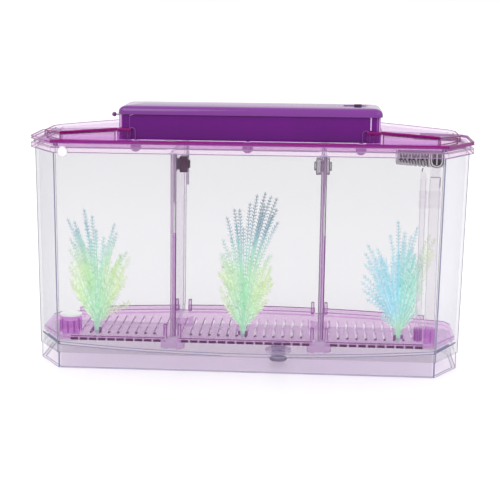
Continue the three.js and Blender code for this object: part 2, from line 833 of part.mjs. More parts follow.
// Plants: a stem with leaves that lean out to their tips. Each leaf is [x, z, y] in shares of the
// plant's half spread and height, for its tip.
const plantPlaces = [
  [plantInset - frontHalf, "plant_left", [
    [-0.42, 0.85, 0.1], [-0.9, 0.79, -0.15], [-0.2, 0.8, 0.3], [0, 0.72, -0.2], [0.52, 0.75, 0.2],
    [0.64, 0.7, -0.1], [0.35, 0.62, 0.35], [0.78, 0.53, 0.1], [0.97, 0.57, -0.2], [-0.98, 0.43, 0.4],
    [0.92, 0.34, -0.3], [1.08, 0.2, 0.1], [-0.6, 0.27, 0.4], [-0.55, 0.62, 0.4],
  ]],
  [-plantMiddle, "plant_middle", [
    [0.62, 0.99, 0.1], [0.38, 0.98, -0.15], [0.8, 0.97, -0.1], [0.97, 0.95, 0.2], [0.98, 0.89, -0.25],
    [0.15, 0.91, 0.3], [-0.15, 0.88, -0.2], [-0.33, 0.87, 0.15], [-0.57, 0.81, 0.3], [-0.66, 0.67, -0.2],
    [-0.72, 0.54, 0.2], [-0.8, 0.44, -0.1], [0.84, 0.55, 0.35], [0.88, 0.42, -0.3], [0.9, 0.35, 0.1],
    [-0.6, 0.25, 0.35],
  ]],
  [frontHalf - plantInset, "plant_right", [
    [-0.1, 0.81, 0.15], [0.1, 0.75, -0.2], [-0.32, 0.71, 0.3], [-1.02, 0.65, -0.1], [-1.08, 0.58, 0.2],
    [-0.6, 0.56, -0.3], [0.15, 0.65, 0.35], [0.3, 0.72, -0.1], [0.5, 0.77, 0.2], [0.42, 0.6, -0.3],
    [0.92, 0.71, 0.4], [1.08, 0.68, 0.5], [-1.12, 0.44, -0.2], [-1.16, 0.38, 0.15], [-1.02, 0.3, 0.3],
  ]],
];

function leaf(root, tip) {
  const middle = new THREE.Vector3(
    root.x + (tip.x - root.x) * leafOutShare,
    root.y + (tip.y - root.y) * leafOutShare,
    root.z + (tip.z - root.z) * leafUpShare,
  );
  const curve = new THREE.QuadraticBezierCurve3(root, middle, tip);
  const rings = [];
  for (let i = 0; i <= leafSteps; i += 1) {
    const share = i / leafSteps;
    const centre = curve.getPoint(share);
    const half = THREE.MathUtils.lerp(leafWidth, leafTipWidth, share) / 2;
    const thick = leafThick / 2;
    rings.push([
      [centre.x - half, centre.y - thick, centre.z],
      [centre.x + half, centre.y - thick, centre.z],
      [centre.x + half, centre.y + thick, centre.z],
      [centre.x - half, centre.y + thick, centre.z],
    ]);
  }
  return loft(rings);
}

function makePlant([x, name, tipShares]) {
  const y = frontY + plantY;
  const bottom = trayTop + gap;
  const stem = rod(x, y, bottom, bottom + stemHeight, stemRadius, roundSmall, leafWidth / 2);
  const peg = rod(x, y, bottom - pegLength, bottom + pegLength, pegRadius, roundSmall);
  const leaves = tipShares.map(([out, up, back], i) => {
    const lift = stemHeight * (rootLowShare + rootStepShare * (i % rootRows));
    const root = new THREE.Vector3(x, y, bottom + lift);
    const reach = plantSpread / 2;
    return leaf(root, new THREE.Vector3(x + out * reach, y + back * reach, bottom + up * plantHeight));
  });
  add(name, joinAll([stem, peg, ...leaves]), green);
}

// Lid

// The roof's height line: level over the lamp and falling to both ends
function roofLine(lift) {
  const tip = halfLength - roofInset;
  const knee = lampHalf + capOut;
  const low = lidBottom - over;
  return [
    [-tip - over, low], [tip + over, low], [tip + over, roofTip + lift],
    [knee, roofRidge + lift], [-knee, roofRidge + lift], [-tip - over, roofTip + lift],
  ];
}

function windowBlock(z0, z1) {
  return block(-windowHalf, windowHalf, frontY + windowFront, frontY + windowBack, z0, z1);
}

function makeLid() {
  const y0 = frontY - over;
  const y1 = backY + over;
  const brim = planBlock(lidOut, lidBottom, lidTop);
  const roofOuter = planBlock(-roofInset, lidBottom, roofRidge + over)
    .intersect(drawnAlongY(roofLine(0), y0, y1));
  const roofInner = planBlock(-roofInset - roofWall, lidBottom - over, roofRidge + over)
    .intersect(drawnAlongY(roofLine(-roofWall), y0, y1));
  const pocketHalf = lampHalf + capOut + slideGap;
  const pocketBack = frontY + lampFront + lampDepth + capOut + slideGap;
  const pocket = block(-pocketHalf, pocketHalf, frontY - over, pocketBack, lidTop, roofRidge + over);
  const pocketOuter = block(-pocketHalf - roofWall, pocketHalf + roofWall, frontY - over, pocketBack + roofWall,
    lidBottom - over, roofRidge + over);
  const shell = brim.add(roofOuter).subtract(roofInner.subtract(pocketOuter)).subtract(pocket);
  const lipOuter = planBlock(-wall - slideGap, lidBottom - lidLip, lidBottom + gap);
  const lipInner = planBlock(-wall - slideGap - roofWall, lidBottom - lidLip - over, lidTop);
  const parts = [shell, lipOuter.subtract(lipInner)];
  const lugY = frontY + wall + slideGap;
  for (const i of [-1, 0, 1]) {
    const centreX = i * lugPitch;
    const lowest = lidBottom - lugDrop;
    const half = lugWidth / 2;
    parts.push(block(centreX - half, centreX + half, lugY, lugY + lugThick, lowest + half, lidBottom + gap));
    parts.push(rodY(centreX, lowest + half, lugY, lugY + lugThick, half, roundMid));
  }
  for (const side of [-1, 1]) {
    const x = side * dividerX;
    const front = frontY - lidOut + padHeight;
    const x0 = x - padWidth / 2;
    parts.push(block(x0, x0 + padWidth, front, front + padDepth, lidTop - gap, lidTop + padHeight));
  }
  return joinAll(parts).subtract(windowBlock(lidBottom - lidLip, lidTop + over));
}

// Lamp

function rounded(halfX, y0, y1, corner, inset, z) {
  const points = [];
  const radius = Math.max(corner - inset, cornerLeast);
  const corners = [
    [halfX - inset - radius, y0 + inset + radius, -Math.PI / 2],
    [halfX - inset - radius, y1 - inset - radius, 0],
    [-halfX + inset + radius, y1 - inset - radius, Math.PI / 2],
    [-halfX + inset + radius, y0 + inset + radius, Math.PI],
  ];
  for (const [cx, cy, start] of corners) {
    for (let i = 0; i <= cornerSteps; i += 1) {
      const angle = start + Math.PI / 2 * i / cornerSteps;
      points.push([cx + radius * Math.cos(angle), cy + radius * Math.sin(angle), z]);
    }
  }
  return points;
}

const lampY0 = frontY + lampFront;
const lampY1 = lampY0 + lampDepth;
const pinY = (lampY0 + lampY1) / 2;
const bossInset = lampWall + bossRadius - bossBite;
const screwPlaces = [-1, 1].flatMap((side) => [0, 1].map((row) => [
  side * (lampHalf - bossInset),
  row === 0 ? lampY0 + bossInset : lampY1 - bossInset,
]));

function makeLampBody() {
  const outer = loft([
    rounded(lampHalf, lampY0, lampY1, lampCorner, 0, lampBottom),
    rounded(lampHalf, lampY0, lampY1, lampCorner, 0, lampSplit - gap),
  ]);
  const inner = loft([
    rounded(lampHalf, lampY0, lampY1, lampCorner, lampWall, lampFloor),
    rounded(lampHalf, lampY0, lampY1, lampCorner, lampWall, lampSplit + over),
  ]);
  const parts = [outer.subtract(inner)];
  const tools = [windowBlock(lampBottom - over, lampFloor + over)];
  for (const [x, y] of screwPlaces) {
    parts.push(rod(x, y, lampBottom, lampSplit - bossDrop, bossRadius, roundMid));
    tools.push(rod(x, y, lampBottom - over, lampSplit - bossDrop + over, screwRadius + gap, roundSmall));
    const headTop = lampBottom + screwHeadThick + gap;
    tools.push(rod(x, y, lampBottom - over, headTop, screwHead + headGap, roundSmall));
  }
  const pinZ = lampSplit - pinDrop;
  const pinFit = pinRadius + gap;
  tools.push(rodX(-lampHalf - over, -lampHalf + lampWall + over, pinY, pinZ, pinFit, roundSmall));
  return cutAll(joinAll(parts), tools);
}

function makeLampCap() {
  const half = lampHalf + capOut;
  const y0 = lampY0 - capOut;
  const y1 = lampY1 + capOut;
  const rings = [rounded(half, y0, y1, lampCorner, 0, lampSplit)];
  const shoulder = lampTop - crown - capRound;
  for (let i = 0; i <= cornerSteps; i += 1) {
    const angle = Math.PI / 2 * i / cornerSteps;
    const inset = capRound * (1 - Math.cos(angle));
    rings.push(rounded(half, y0, y1, lampCorner, inset, shoulder + capRound * Math.sin(angle)));
  }
  rings.push(rounded(half, y0, y1, lampCorner, crownInset, lampTop));
  const inner = loft([
    rounded(half, y0, y1, lampCorner, lampWall + capOut, lampSplit - capLip - over),
    rounded(half, y0, y1, lampCorner, lampWall + capOut, shoulder),
    rounded(half, y0, y1, lampCorner, lampWall + capOut + capRound / 2, lampTop - crown - lampWall),
  ]);
  const lipIn = lampWall + gap;
  const lip = loft([
    rounded(lampHalf, lampY0, lampY1, lampCorner, lipIn, lampSplit - capLip),
    rounded(lampHalf, lampY0, lampY1, lampCorner, lipIn, lampSplit + gap),
  ]).subtract(loft([
    rounded(lampHalf, lampY0, lampY1, lampCorner, lipIn + lipWall, lampSplit - capLip - over),
    rounded(lampHalf, lampY0, lampY1, lampCorner, lipIn + lipWall, lampSplit + over),
  ]));
  const skin = loft(rings).subtract(inner.intersect(block(-half, half, y0, y1, lampSplit - over, lampTop)));
  const parts = [skin, lip];
  for (const [x, y] of screwPlaces) {
    const bossTop = lampTop - crown - lampWall / 2;
    parts.push(rod(x, y, lampSplit - bossDrop + gap, bossTop, capBossRadius, roundMid));
  }
  const buttonPlace = frontY + buttonY;
  const panelX = buttonX - panelLength / 2;
  const panelY = buttonPlace - panelDepth / 2;
  const tools = [
    block(panelX, panelX + panelLength, panelY, panelY + panelDepth, lampTop - panelSink, lampTop + over),
    rod(buttonX, buttonPlace, lampSplit, lampTop + over, buttonRadius + gap, roundMid),
  ];
  for (const [x, y] of screwPlaces) {
    tools.push(rod(x, y, lampFloor, lampSplit + capLip, screwRadius + gap / 2, roundSmall));
  }
  return cutAll(joinAll(parts), tools);
}

function makeLampParts() {
  const lensY0 = frontY + windowFront;
  const lensY1 = frontY + windowBack;
  const lensFlange = block(-windowHalf - lensLip, windowHalf + lensLip, lensY0 - lensLip, lensY1 + lensLip,
    lampFloor + gap, lampFloor + gap + lensThick);
  const faceHalf = windowHalf - gap;
  const faceTop = lampFloor + lensThick;
  const lensFace = block(-faceHalf, faceHalf, lensY0 + gap, lensY1 - gap, lampBottom + gap, faceTop);
  add("lamp_lens", lensFlange.add(lensFace), clear);
  const boardBottom = lensTop + boardLift;
  const boardY0 = lensY0;
  const boardY1 = (lensY0 + lensY1) / 2 - gap;
  const feet = [-1, 1].map((side) => {
    const x0 = side * (windowHalf - boardLift) - boardThick / 2;
    return block(x0, x0 + boardThick, boardY0, boardY1, lensTop + gap, boardBottom + boardThick / 2);
  });
  const strip = block(-windowHalf, windowHalf, boardY0, boardY1, boardBottom, boardBottom + boardThick);
  add("led_board", joinAll([strip, ...feet]), board);
  const ledY = (boardY0 + boardY1) / 2;
  for (let i = 0; i < ledCount; i += 1) {
    const x = windowHalf * (2 * (i + 0.5) / ledCount - 1);
    const dome = rod(x, ledY, boardBottom - ledHeight, boardBottom, ledRadius / 2, roundSmall, ledRadius);
    add(`led_${i + 1}`, dome, white);
  }
  const cellY = (boardY1 + gap + lampY1 - lampWall - gap) / 2;
  const cradleX = cellRowHalf + cellGap;
  const cradleY = cellRadius + cellGap + cradleWall;
  const cradleEnd = cradleX + cradleWall;
  const cradle = block(-cradleEnd, cradleEnd, cellY - cradleY, cellY + cradleY, lensTop + gap, cellZ + gap);
  const trough = block(-cradleX, cradleX, cellY - cellRadius - cellGap, cellY + cellRadius + cellGap,
    lensTop + gap + cradleWall - gap, cellZ + over);
  add("battery_cradle", cradle.subtract(trough), dark);
  for (let i = 0; i < cellCount; i += 1) {
    const x0 = -cellRowHalf + (cellLength + cellGap) * i;
    const can = rodX(x0, x0 + cellLength - cellNubLength, cellY, cellZ, cellRadius);
    const nub = rodX(x0 + cellLength - cellNubLength - gap, x0 + cellLength, cellY, cellZ, cellNub, roundSmall);
    add(`battery_cell_${i + 1}`, can.add(nub), steel);
  }
  const buttonPlace = frontY + buttonY;
  const crownUnder = lampTop - crown - lampWall;
  const stemBottom = crownUnder - buttonCollar - gap - buttonTravel;
  const cap = rod(buttonX, buttonPlace, stemBottom, lampTop + buttonRise, buttonRadius, roundMid);
  const collarTop = stemBottom + buttonCollar;
  const collar = rod(buttonX, buttonPlace, stemBottom, collarTop, buttonRadius + buttonCollar, roundMid);
  add("power_button", cap.add(collar), dark);
  const switchTop = stemBottom - buttonTravel - gap;
  const half = switchSide / 2;
  const switchSeat = boardBottom + boardThick;
  const switchY = buttonPlace - half;
  const body = block(buttonX - half, buttonX + half, switchY, switchY + switchSide, switchSeat, switchTop);
  add("switch_block", body, dark);
  screwPlaces.forEach(([x, y], i) => {
    const low = lampBottom + headGap;
    const head = rod(x, y, low, low + screwHeadThick, screwHead, roundSmall);
    const shank = rod(x, y, low, lampSplit, screwRadius, roundSmall);
    add(`lamp_screw_${i + 1}`, head.add(shank), steel);
  });
  const pinZ = lampSplit - pinDrop;
  const end = -lampHalf - pinLength;
  add("end_pin", rodX(end, -lampHalf + lampWall + gap, pinY, pinZ, pinRadius, roundSmall), steel);
  const ball = new THREE.SphereGeometry(beadRadius, roundMid, roundSmall);
  ball.translate(end - gap / 2 - beadRadius, pinY, pinZ);
  add("end_bead", solid(ball), purple);
}

add("tank_shell", makeTank(), clear);
add("base_ring", makeBase(), lilac);
makeDrain();
makePortPlug();
add("bottom_tray", makeTray(), purple);
makeSocketCap();
makeFilter();
makeCage();
makeDivider(-1, "divider_left", [gripCheekShort, gripCheekLong]);
makeDivider(1, "divider_right", [gripCheek, gripCheek]);
plantPlaces.forEach(makePlant);
add("lid", makeLid(), lidPurple);
add("lamp_body", makeLampBody(), lampPurple);
add("lamp_cap", makeLampCap(), capPurple);
makeLampParts();

export default group;
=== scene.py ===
# Dresses the fish breeding box: clear tank, tinted lid with its lamp, dividers, tray, plants and filter.
# Lengths are millimetres in the part's frame, and meshes are scaled to metres when they are made.
import json
import math
import random

import bmesh
import bpy
from mathutils import Euler, Matrix, Vector


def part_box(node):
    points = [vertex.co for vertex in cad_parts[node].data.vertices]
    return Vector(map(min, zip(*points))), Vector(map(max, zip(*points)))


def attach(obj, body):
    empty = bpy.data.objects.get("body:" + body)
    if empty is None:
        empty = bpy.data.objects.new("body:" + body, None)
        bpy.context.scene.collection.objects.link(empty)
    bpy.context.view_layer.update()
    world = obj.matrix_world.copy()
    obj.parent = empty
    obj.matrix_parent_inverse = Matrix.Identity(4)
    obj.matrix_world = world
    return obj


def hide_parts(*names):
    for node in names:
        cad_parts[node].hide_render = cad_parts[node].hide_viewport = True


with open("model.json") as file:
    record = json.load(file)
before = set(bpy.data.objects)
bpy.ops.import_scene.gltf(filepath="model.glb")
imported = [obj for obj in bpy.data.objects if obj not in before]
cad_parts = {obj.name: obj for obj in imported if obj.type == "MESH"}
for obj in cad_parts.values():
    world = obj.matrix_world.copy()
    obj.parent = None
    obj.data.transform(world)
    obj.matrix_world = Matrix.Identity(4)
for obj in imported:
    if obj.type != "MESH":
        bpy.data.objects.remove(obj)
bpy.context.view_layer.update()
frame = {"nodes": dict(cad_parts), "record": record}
nodes = frame["nodes"]
rng = random.Random(7)

MM = 0.001

# Sizes and places, as in the solids. The front lies at negative y.
FRONT_HALF = 115
CORNER_RUN = 16.2
CORNER_DEPTH = 28.8
SIDE_DEPTH = 44.2
BACK_BOW = 24
HALF_LENGTH = FRONT_HALF + CORNER_RUN
FRONT_Y = -(CORNER_DEPTH + SIDE_DEPTH + BACK_BOW) / 2
BACK_FROM = 20
BASE_HALF = 128.3
LIP_BOTTOM = 9.6
RIM_BOTTOM = 131.6
RIM_TOP = 136.9
DIVIDER_X = 44.4
TRAY_TOP = 20
SLOT_PITCH = 5.6
SOCKET_X = 107.5
SOCKET_RADIUS = 6.7
TUBE_Y = FRONT_Y + 15
SKIRT_BOTTOM = 135
LUG_PLACES = (-66, 0, 66)
LID_TOP = 139
POCKET_HALF = 77.4
ROOF_FRONT = FRONT_Y + 5.8
ROOF_RIDGE = 145.5
LAMP_FRONT = FRONT_Y + 7
LAMP_END = 68
CAP_SHOULDER = 156.2
CAP_TOP = 160


# Camera, fitted to the corners of the box in the photograph: place in metres and turn in degrees
CAMERA_PLACE = (0.04021, -0.90132, 0.2231)
CAMERA_TURN = (79.271, -0.4047, 5.07)


def make_camera():
    data = bpy.data.cameras.new("camera")
    data.sensor_fit = "HORIZONTAL"
    data.sensor_width = 36
    data.lens = 105.36
    data.shift_x = 0.124
    data.shift_y = 0.0462
    data.clip_end = 200
    camera = bpy.data.objects.new("camera", data)
    bpy.context.scene.collection.objects.link(camera)
    turn = Euler([math.radians(angle) for angle in CAMERA_TURN])
    camera.matrix_world = Matrix.LocRotScale(Vector(CAMERA_PLACE), turn, None)
    bpy.context.scene.camera = camera


make_camera()


# Nodes of the materials
MATS = {}
# the colour sockets of a Mix node
MIX_FIRST = 6
MIX_SECOND = 7
MIX_RESULT = 2


def fresh(name):
    """A new empty material, kept in MATS. Returns its tree and output node."""
    mat = bpy.data.materials.new(name)
    mat.use_nodes = True
    tree = mat.node_tree
    tree.nodes.clear()
    MATS[name] = mat
    return tree, tree.nodes.new("ShaderNodeOutputMaterial")


def node(tree, kind, **values):
    """A new node. Each value is an attribute of it, or else an input, with _ for a space in its name."""
    made = tree.nodes.new(kind)
    for key, value in values.items():
        if hasattr(made, key):
            setattr(made, key, value)
        else:
            made.inputs[key.replace("_", " ")].default_value = value
    return made


def feed(tree, value, socket):
    """Links another node's output to the socket, or sets the socket to a plain value."""
    if isinstance(value, bpy.types.NodeSocket):
        tree.links.new(value, socket)
    else:
        socket.default_value = value


def math_node(tree, operation, *values, clamp=False):
    made = node(tree, "ShaderNodeMath", operation=operation, use_clamp=clamp)
    for value, socket in zip(values, made.inputs):
        feed(tree, value, socket)
    return made.outputs[0]


def mix_colours(tree, share, first, second):
    made = node(tree, "ShaderNodeMix", data_type="RGBA")
    feed(tree, share, made.inputs[0])
    feed(tree, first, made.inputs[MIX_FIRST])
    feed(tree, second, made.inputs[MIX_SECOND])
    return made.outputs[MIX_RESULT]


def mix_shaders(tree, out, share, under, over):
    """Sends two shaders to the output, with the second one's share."""
    mixed = node(tree, "ShaderNodeMixShader")
    feed(tree, share, mixed.inputs["Fac"])
    tree.links.new(under.outputs["BSDF"], mixed.inputs[1])
    tree.links.new(over.outputs["BSDF"], mixed.inputs[2])
    tree.links.new(mixed.outputs["Shader"], out.inputs["Surface"])


def map_range(tree, source, low, high):
    """The source's range of 0 to 1 as low to high."""
    made = node(tree, "ShaderNodeMapRange", To_Min=low, To_Max=high)
    tree.links.new(source, made.inputs["Value"])
    return made.outputs["Result"]


def noise_at(tree, scale):
    coords = node(tree, "ShaderNodeTexCoord")
    noise = node(tree, "ShaderNodeTexNoise", Scale=scale, Detail=3.0)
    tree.links.new(coords.outputs["Object"], noise.inputs["Vector"])
    return noise.outputs["Fac"]


def ramp(tree, source, low, high):
    made = node(tree, "ShaderNodeValToRGB")
    first, last = made.color_ramp.elements
    first.position = 0.3
    first.color = (*low, 1)
    last.position = 0.7
    last.color = (*high, 1)
    tree.links.new(source, made.inputs["Fac"])
    return made.outputs["Color"]


def bump(tree, source, strength, distance):
    made = node(tree, "ShaderNodeBump", Strength=strength, Distance=distance)
    tree.links.new(source, made.inputs["Height"])
    return made.outputs["Normal"]


def linear(colour):
    """An sRGB colour of 0 to 255 as a linear one of 0 to 1."""
    out = []
    for c in colour:
        c = c / 255
        out.append(c / 12.92 if c <= 0.04045 else ((c + 0.055) / 1.055) ** 2.4)
    return tuple(out)


def solid(colour):
    return (*linear(colour), 1)


def gloss(tree, colour, rough, spread, scale, strength, distance):
    """A Principled shader whose colour and roughness vary a little over the surface, and its noise."""
    colour = linear(colour)
    noise = noise_at(tree, scale)
    low = tuple(c * (1 - spread) for c in colour)
    high = tuple(min(1, c * (1 + spread)) for c in colour)
    shader = node(tree, "ShaderNodeBsdfPrincipled", IOR=1.49)
    tree.links.new(ramp(tree, noise, low, high), shader.inputs["Base Color"])
    tree.links.new(map_range(tree, noise, rough * 0.8, rough * 1.25), shader.inputs["Roughness"])
    fine = noise_at(tree, scale * 6)
    tree.links.new(bump(tree, fine, strength, distance), shader.inputs["Normal"])
    return shader, noise


# Kinds of material
def opaque(name, colour, rough=0.35, spread=0.06, scale=60, strength=0.15, distance=0.0002,
           metal=0.0, shine=0.5, glow=0.0):
    tree, out = fresh(name)
    shader, _ = gloss(tree, colour, rough, spread, scale, strength, distance)
    # glow makes the surface give off its own colour: painted light where little light reaches it
    if glow:
        shader.inputs["Emission Color"].default_value = solid(colour)
        shader.inputs["Emission Strength"].default_value = glow
    shader.inputs["Metallic"].default_value = metal
    shader.inputs["Specular IOR Level"].default_value = shine
    tree.links.new(shader.outputs["BSDF"], out.inputs["Surface"])


def line(name, colour, rough=0.2, shine=0.3, glow=0.0):
    """A fine line or mark inside clear plastic."""
    opaque(name, colour, rough, shine=shine, glow=glow)


def polished(name, colour, rough=0.16, spread=0.08, shine=0.5):
    """The lamp's smooth plastic, which hardly varies."""
    opaque(name, colour, rough, spread, scale=30, strength=0.05, distance=0.0001, shine=shine)


def film(name, tint, body, share, rough, edge, grade=None):
    """Thin see-through plastic: what is behind it shows, tinted, under a share of its own colour.

    The share grows by the edge value at a glance. A grade turns the look into a second one along an axis of
    the part: (axis, start, end, tint, body, share)."""
    tree, out = fresh(name)
    shader, noise = gloss(tree, body, rough, spread=0.03, scale=25, strength=0.04, distance=0.0001)
    clear = node(tree, "ShaderNodeBsdfTransparent", Color=solid(tint))
    facing = node(tree, "ShaderNodeLayerWeight", Blend=0.35)
    glance = math_node(tree, "POWER", facing.outputs["Facing"], 2.0)
    opacity = math_node(tree, "MULTIPLY_ADD", glance, edge, share)
    if grade:
        opacity = graded(tree, shader, clear, opacity, tint, share, grade)
    drift = map_range(tree, noise, 0.85, 1.15)
    total = math_node(tree, "MULTIPLY", opacity, drift, clamp=True)
    mix_shaders(tree, out, total, clear, shader)


def graded(tree, shader, clear, opacity, tint, share, grade):
    """Grades a film's tint and own colour, and returns the graded opacity."""
    axis, start, end, far_tint, far_body, far_share = grade
    coords = node(tree, "ShaderNodeTexCoord")
    parts = node(tree, "ShaderNodeSeparateXYZ")
    tree.links.new(coords.outputs["Object"], parts.inputs[0])
    ranged = node(tree, "ShaderNodeMapRange", From_Min=start * MM, From_Max=end * MM)
    tree.links.new(parts.outputs[axis], ranged.inputs["Value"])
    way = ranged.outputs["Result"]
    own = shader.inputs["Base Color"].links[0].from_socket
    tree.links.new(mix_colours(tree, way, solid(tint), solid(far_tint)), clear.inputs["Color"])
    tree.links.new(mix_colours(tree, way, own, solid(far_body)), shader.inputs["Base Color"])
    return math_node(tree, "MULTIPLY_ADD", way, far_share - share, opacity)


# Materials of the tank, base and dividers: a film's numbers are its share, roughness and edge value
film("tank_clear", (252, 252, 253), (240, 240, 243), 0.02, 0.05, 0.1)
# The front's see-through tint is greyer than the other walls' and darker towards the top, and the corner
# walls' is darker at the left: partly the plastic's own grey, partly painted shade
film("tank_front", (232, 231, 231), (234, 234, 236), 0.04, 0.05, 0.1,
     grade=("Z", 90, 122, (229, 228, 228), (231, 230, 232), 0.04))
film("tank_side", (226, 226, 228), (232, 232, 236), 0.04, 0.05, 0.1,
     grade=("X", -90, 90, (238, 237, 240), (236, 236, 240), 0.04))
film("tank_rim", (247, 238, 246), (240, 228, 240), 0.1, 0.06, 0.12)
line("tank_line", (178, 174, 208))
line("tank_soft", (202, 198, 214))
# The rim's edge lines are dark: partly the flange's own edges, partly painted shade under the lid's brim
line("rim_line_and_shade", (164, 140, 172))
film("base_lilac", (243, 242, 245), (228, 219, 230), 0.07, 0.06, 0.04)
film("base_pale", (252, 252, 252), (242, 238, 244), 0.02, 0.06, 0.03)
line("base_line", (146, 140, 184))
line("base_soft", (196, 188, 212))
film("divider_clear", (249, 246, 250), (236, 228, 240), 0.05, 0.07, 0.03)
film("divider_edge", (246, 222, 249), (228, 188, 234), 0.22, 0.1, 0.1)
line("divider_line", (140, 52, 148))
line("divider_glint", (250, 248, 252), shine=0.5, glow=0.1)
line("guide_line", (188, 168, 196))
film("grip_grey", (242, 238, 243), (208, 200, 212), 0.3, 0.1, 0.25)
opaque("grip_plum", (98, 22, 88), 0.25)

# Materials of the lid
film("lid_purple", (249, 243, 250), (240, 216, 244), 0.05, 0.07, 0.12,
     grade=("Y", -40.6, -43, (184, 84, 192), (158, 48, 170), 0.66))
film("lid_skirt", (246, 228, 248), (238, 208, 242), 0.1, 0.07, 0.14)
film("lid_front", (246, 211, 249), (231, 174, 240), 0.25, 0.07, 0.14,
     grade=("Z", 139.8, 142.6, (249, 234, 251), (241, 217, 246), 0.17))
film("tab_film", (240, 206, 243), (158, 62, 172), 0.25, 0.07, 0.1)
film("lid_edge", (172, 72, 174), (138, 28, 134), 0.7, 0.1, 0.1)
line("lid_line", (134, 4, 108), shine=0.25)
line("lid_soft", (192, 152, 194))
line("lid_mauve", (166, 112, 164))
film("lug_purple", (192, 124, 202), (152, 70, 166), 0.58, 0.1, 0.2)
line("arch_line", (150, 78, 160))

# Materials of the tray
film("tray_purple", (253, 240, 253), (243, 202, 247), 0.14, 0.12, 0.12)
film("tray_front", (249, 230, 250), (236, 200, 240), 0.2, 0.12, 0.12)
film("tray_foot", (247, 234, 249), (232, 208, 238), 0.1, 0.12, 0.12)
film("tray_socket", (251, 226, 252), (234, 176, 240), 0.16, 0.1, 0.2)
film("tray_streak", (236, 176, 241), (226, 144, 234), 0.33, 0.1, 0.2)
line("tray_line", (176, 90, 186), 0.25)
# pale slot lines that glow a little: a painted highlight
line("tray_slot_highlight", (252, 244, 253), 0.25, glow=0.25)
line("tray_dark", (98, 28, 92), 0.3)
# The socket cap glows a little: painted light that brightens it in the shade inside the tank
opaque("cap_white", (250, 250, 252), 0.35, 0.02, glow=0.24)
opaque("white_plastic", (244, 243, 246), 0.35, 0.02)
opaque("plug_shade", (214, 208, 216), 0.35, 0.02)

# Materials of the lamp
polished("lamp_purple", (102, 10, 122), shine=0.22)
# The lamp's end faces, and a fine line near its left end, are a paler purple: a painted highlight
polished("lamp_end", (154, 70, 168), shine=0.25)
polished("lamp_glint", (226, 184, 232), spread=0.04)
polished("cap_purple", (118, 26, 140), 0.14, 0.06, shine=0.7)
opaque("bead_plum", (126, 66, 130), 0.3)
opaque("dark_plastic", (62, 54, 64), 0.4)
opaque("board_white", (232, 236, 232), 0.5)
opaque("led_white", (250, 245, 215), 0.2)
film("lens_clear", (248, 246, 250), (240, 238, 245), 0.1, 0.1, 0.3)
for metal_name in ("cell_metal", "screw_steel"):
    opaque(metal_name, (180, 180, 185), 0.3, 0.05, scale=200, strength=0.2, distance=0.0001, metal=1.0)

# Materials of the filter, the drain and the plants
film("tube_clear", (254, 253, 254), (244, 242, 248), 0.03, 0.06, 0.06)
# The tubes' and sleeves' lines glow a little: painted light that lightens them in the shade inside the tank
line("tube_line", (222, 216, 228), glow=0.2)
film("sleeve_milky", (255, 255, 255), (255, 251, 255), 0.06, 0.2, 0.03)
line("sleeve_line", (246, 238, 249), glow=0.2)
film("grey_clear", (254, 253, 255), (244, 238, 247), 0.045, 0.1, 0.08)
line("grey_line", (142, 132, 152), 0.3)
line("drain_line", (230, 222, 236), 0.3)
film("seal_grey", (249, 246, 251), (224, 216, 230), 0.14, 0.1, 0.1)
opaque("ring_grey", (146, 134, 154), 0.5)
film("cage_rib", (244, 241, 246), (246, 242, 248), 0.72, 0.1, 0.2)
line("cage_dark", (116, 102, 120), 0.5)
# The cage's pale lines glow a little: painted light
line("cage_pale", (244, 240, 247), 0.3, glow=0.25)
line("nose_dark", (36, 26, 38), 0.5, shine=0.2)
opaque("sponge_black", (44, 40, 46), 0.9, 0.3, scale=400, strength=0.9, distance=0.0008)


def plant_material():
    """Soft plastic that some light passes, in the colour kept at each point of the strands, with a painted
    glow of that colour that makes up for the shade between the strands.
    """
    tree, out = fresh("plant_green")
    tone = node(tree, "ShaderNodeVertexColor", layer_name="tone")
    noise = noise_at(tree, 180)
    scaled = node(tree, "ShaderNodeVectorMath", operation="SCALE")
    tree.links.new(tone.outputs["Color"], scaled.inputs[0])
    tree.links.new(map_range(tree, noise, 0.9, 1.06), scaled.inputs["Scale"])
    # Emission Strength is a painted glow in the strands' own colour
    shader = node(tree, "ShaderNodeBsdfPrincipled", Roughness=0.45, IOR=1.45, Emission_Strength=0.37)
    tree.links.new(scaled.outputs[0], shader.inputs["Base Color"])
    tree.links.new(scaled.outputs[0], shader.inputs["Emission Color"])
    tree.links.new(bump(tree, noise, 0.1, 0.0002), shader.inputs["Normal"])
    clear = node(tree, "ShaderNodeBsdfTransparent", Color=(0.97, 0.99, 0.98, 1))
    mix_shaders(tree, out, 0.84, clear, shader)


plant_material()


# Making of pieces
DRESSED = set()
SHARP_ANGLE = 35


def new_object(name, mesh):
    obj = bpy.data.objects.new(name, mesh)
    bpy.context.scene.collection.objects.link(obj)
    return obj


def smooth(mesh, angle):
    mesh.shade_smooth()
    mesh.set_sharp_from_angle(angle=math.radians(angle))


def join_frame(obj, body, node_name, slot):
    """The piece rides on the body and stands for the node; slot is not used."""
    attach(obj, body)
    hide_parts(node_name)
    DRESSED.add(node_name)


def circle(centre, side, across, radius, count):
    """Points around the centre, in the plane of two directions."""
    points = []
    for k in range(count):
        turn = 2 * math.pi * k / count
        points.append(centre + side * (radius * math.cos(turn)) + across * (radius * math.sin(turn)))
    return points


# Plants: serrated strands that fan out of a short stem
PLANT_Y = FRONT_Y + 21
PLANT_HEIGHT = 88
PLANT_SPREAD = 20
FOOT_GAP = 0.3
STEM_HEIGHT = 9
STEM_SIDES = 14
PLANT_SHARP_ANGLE = 50
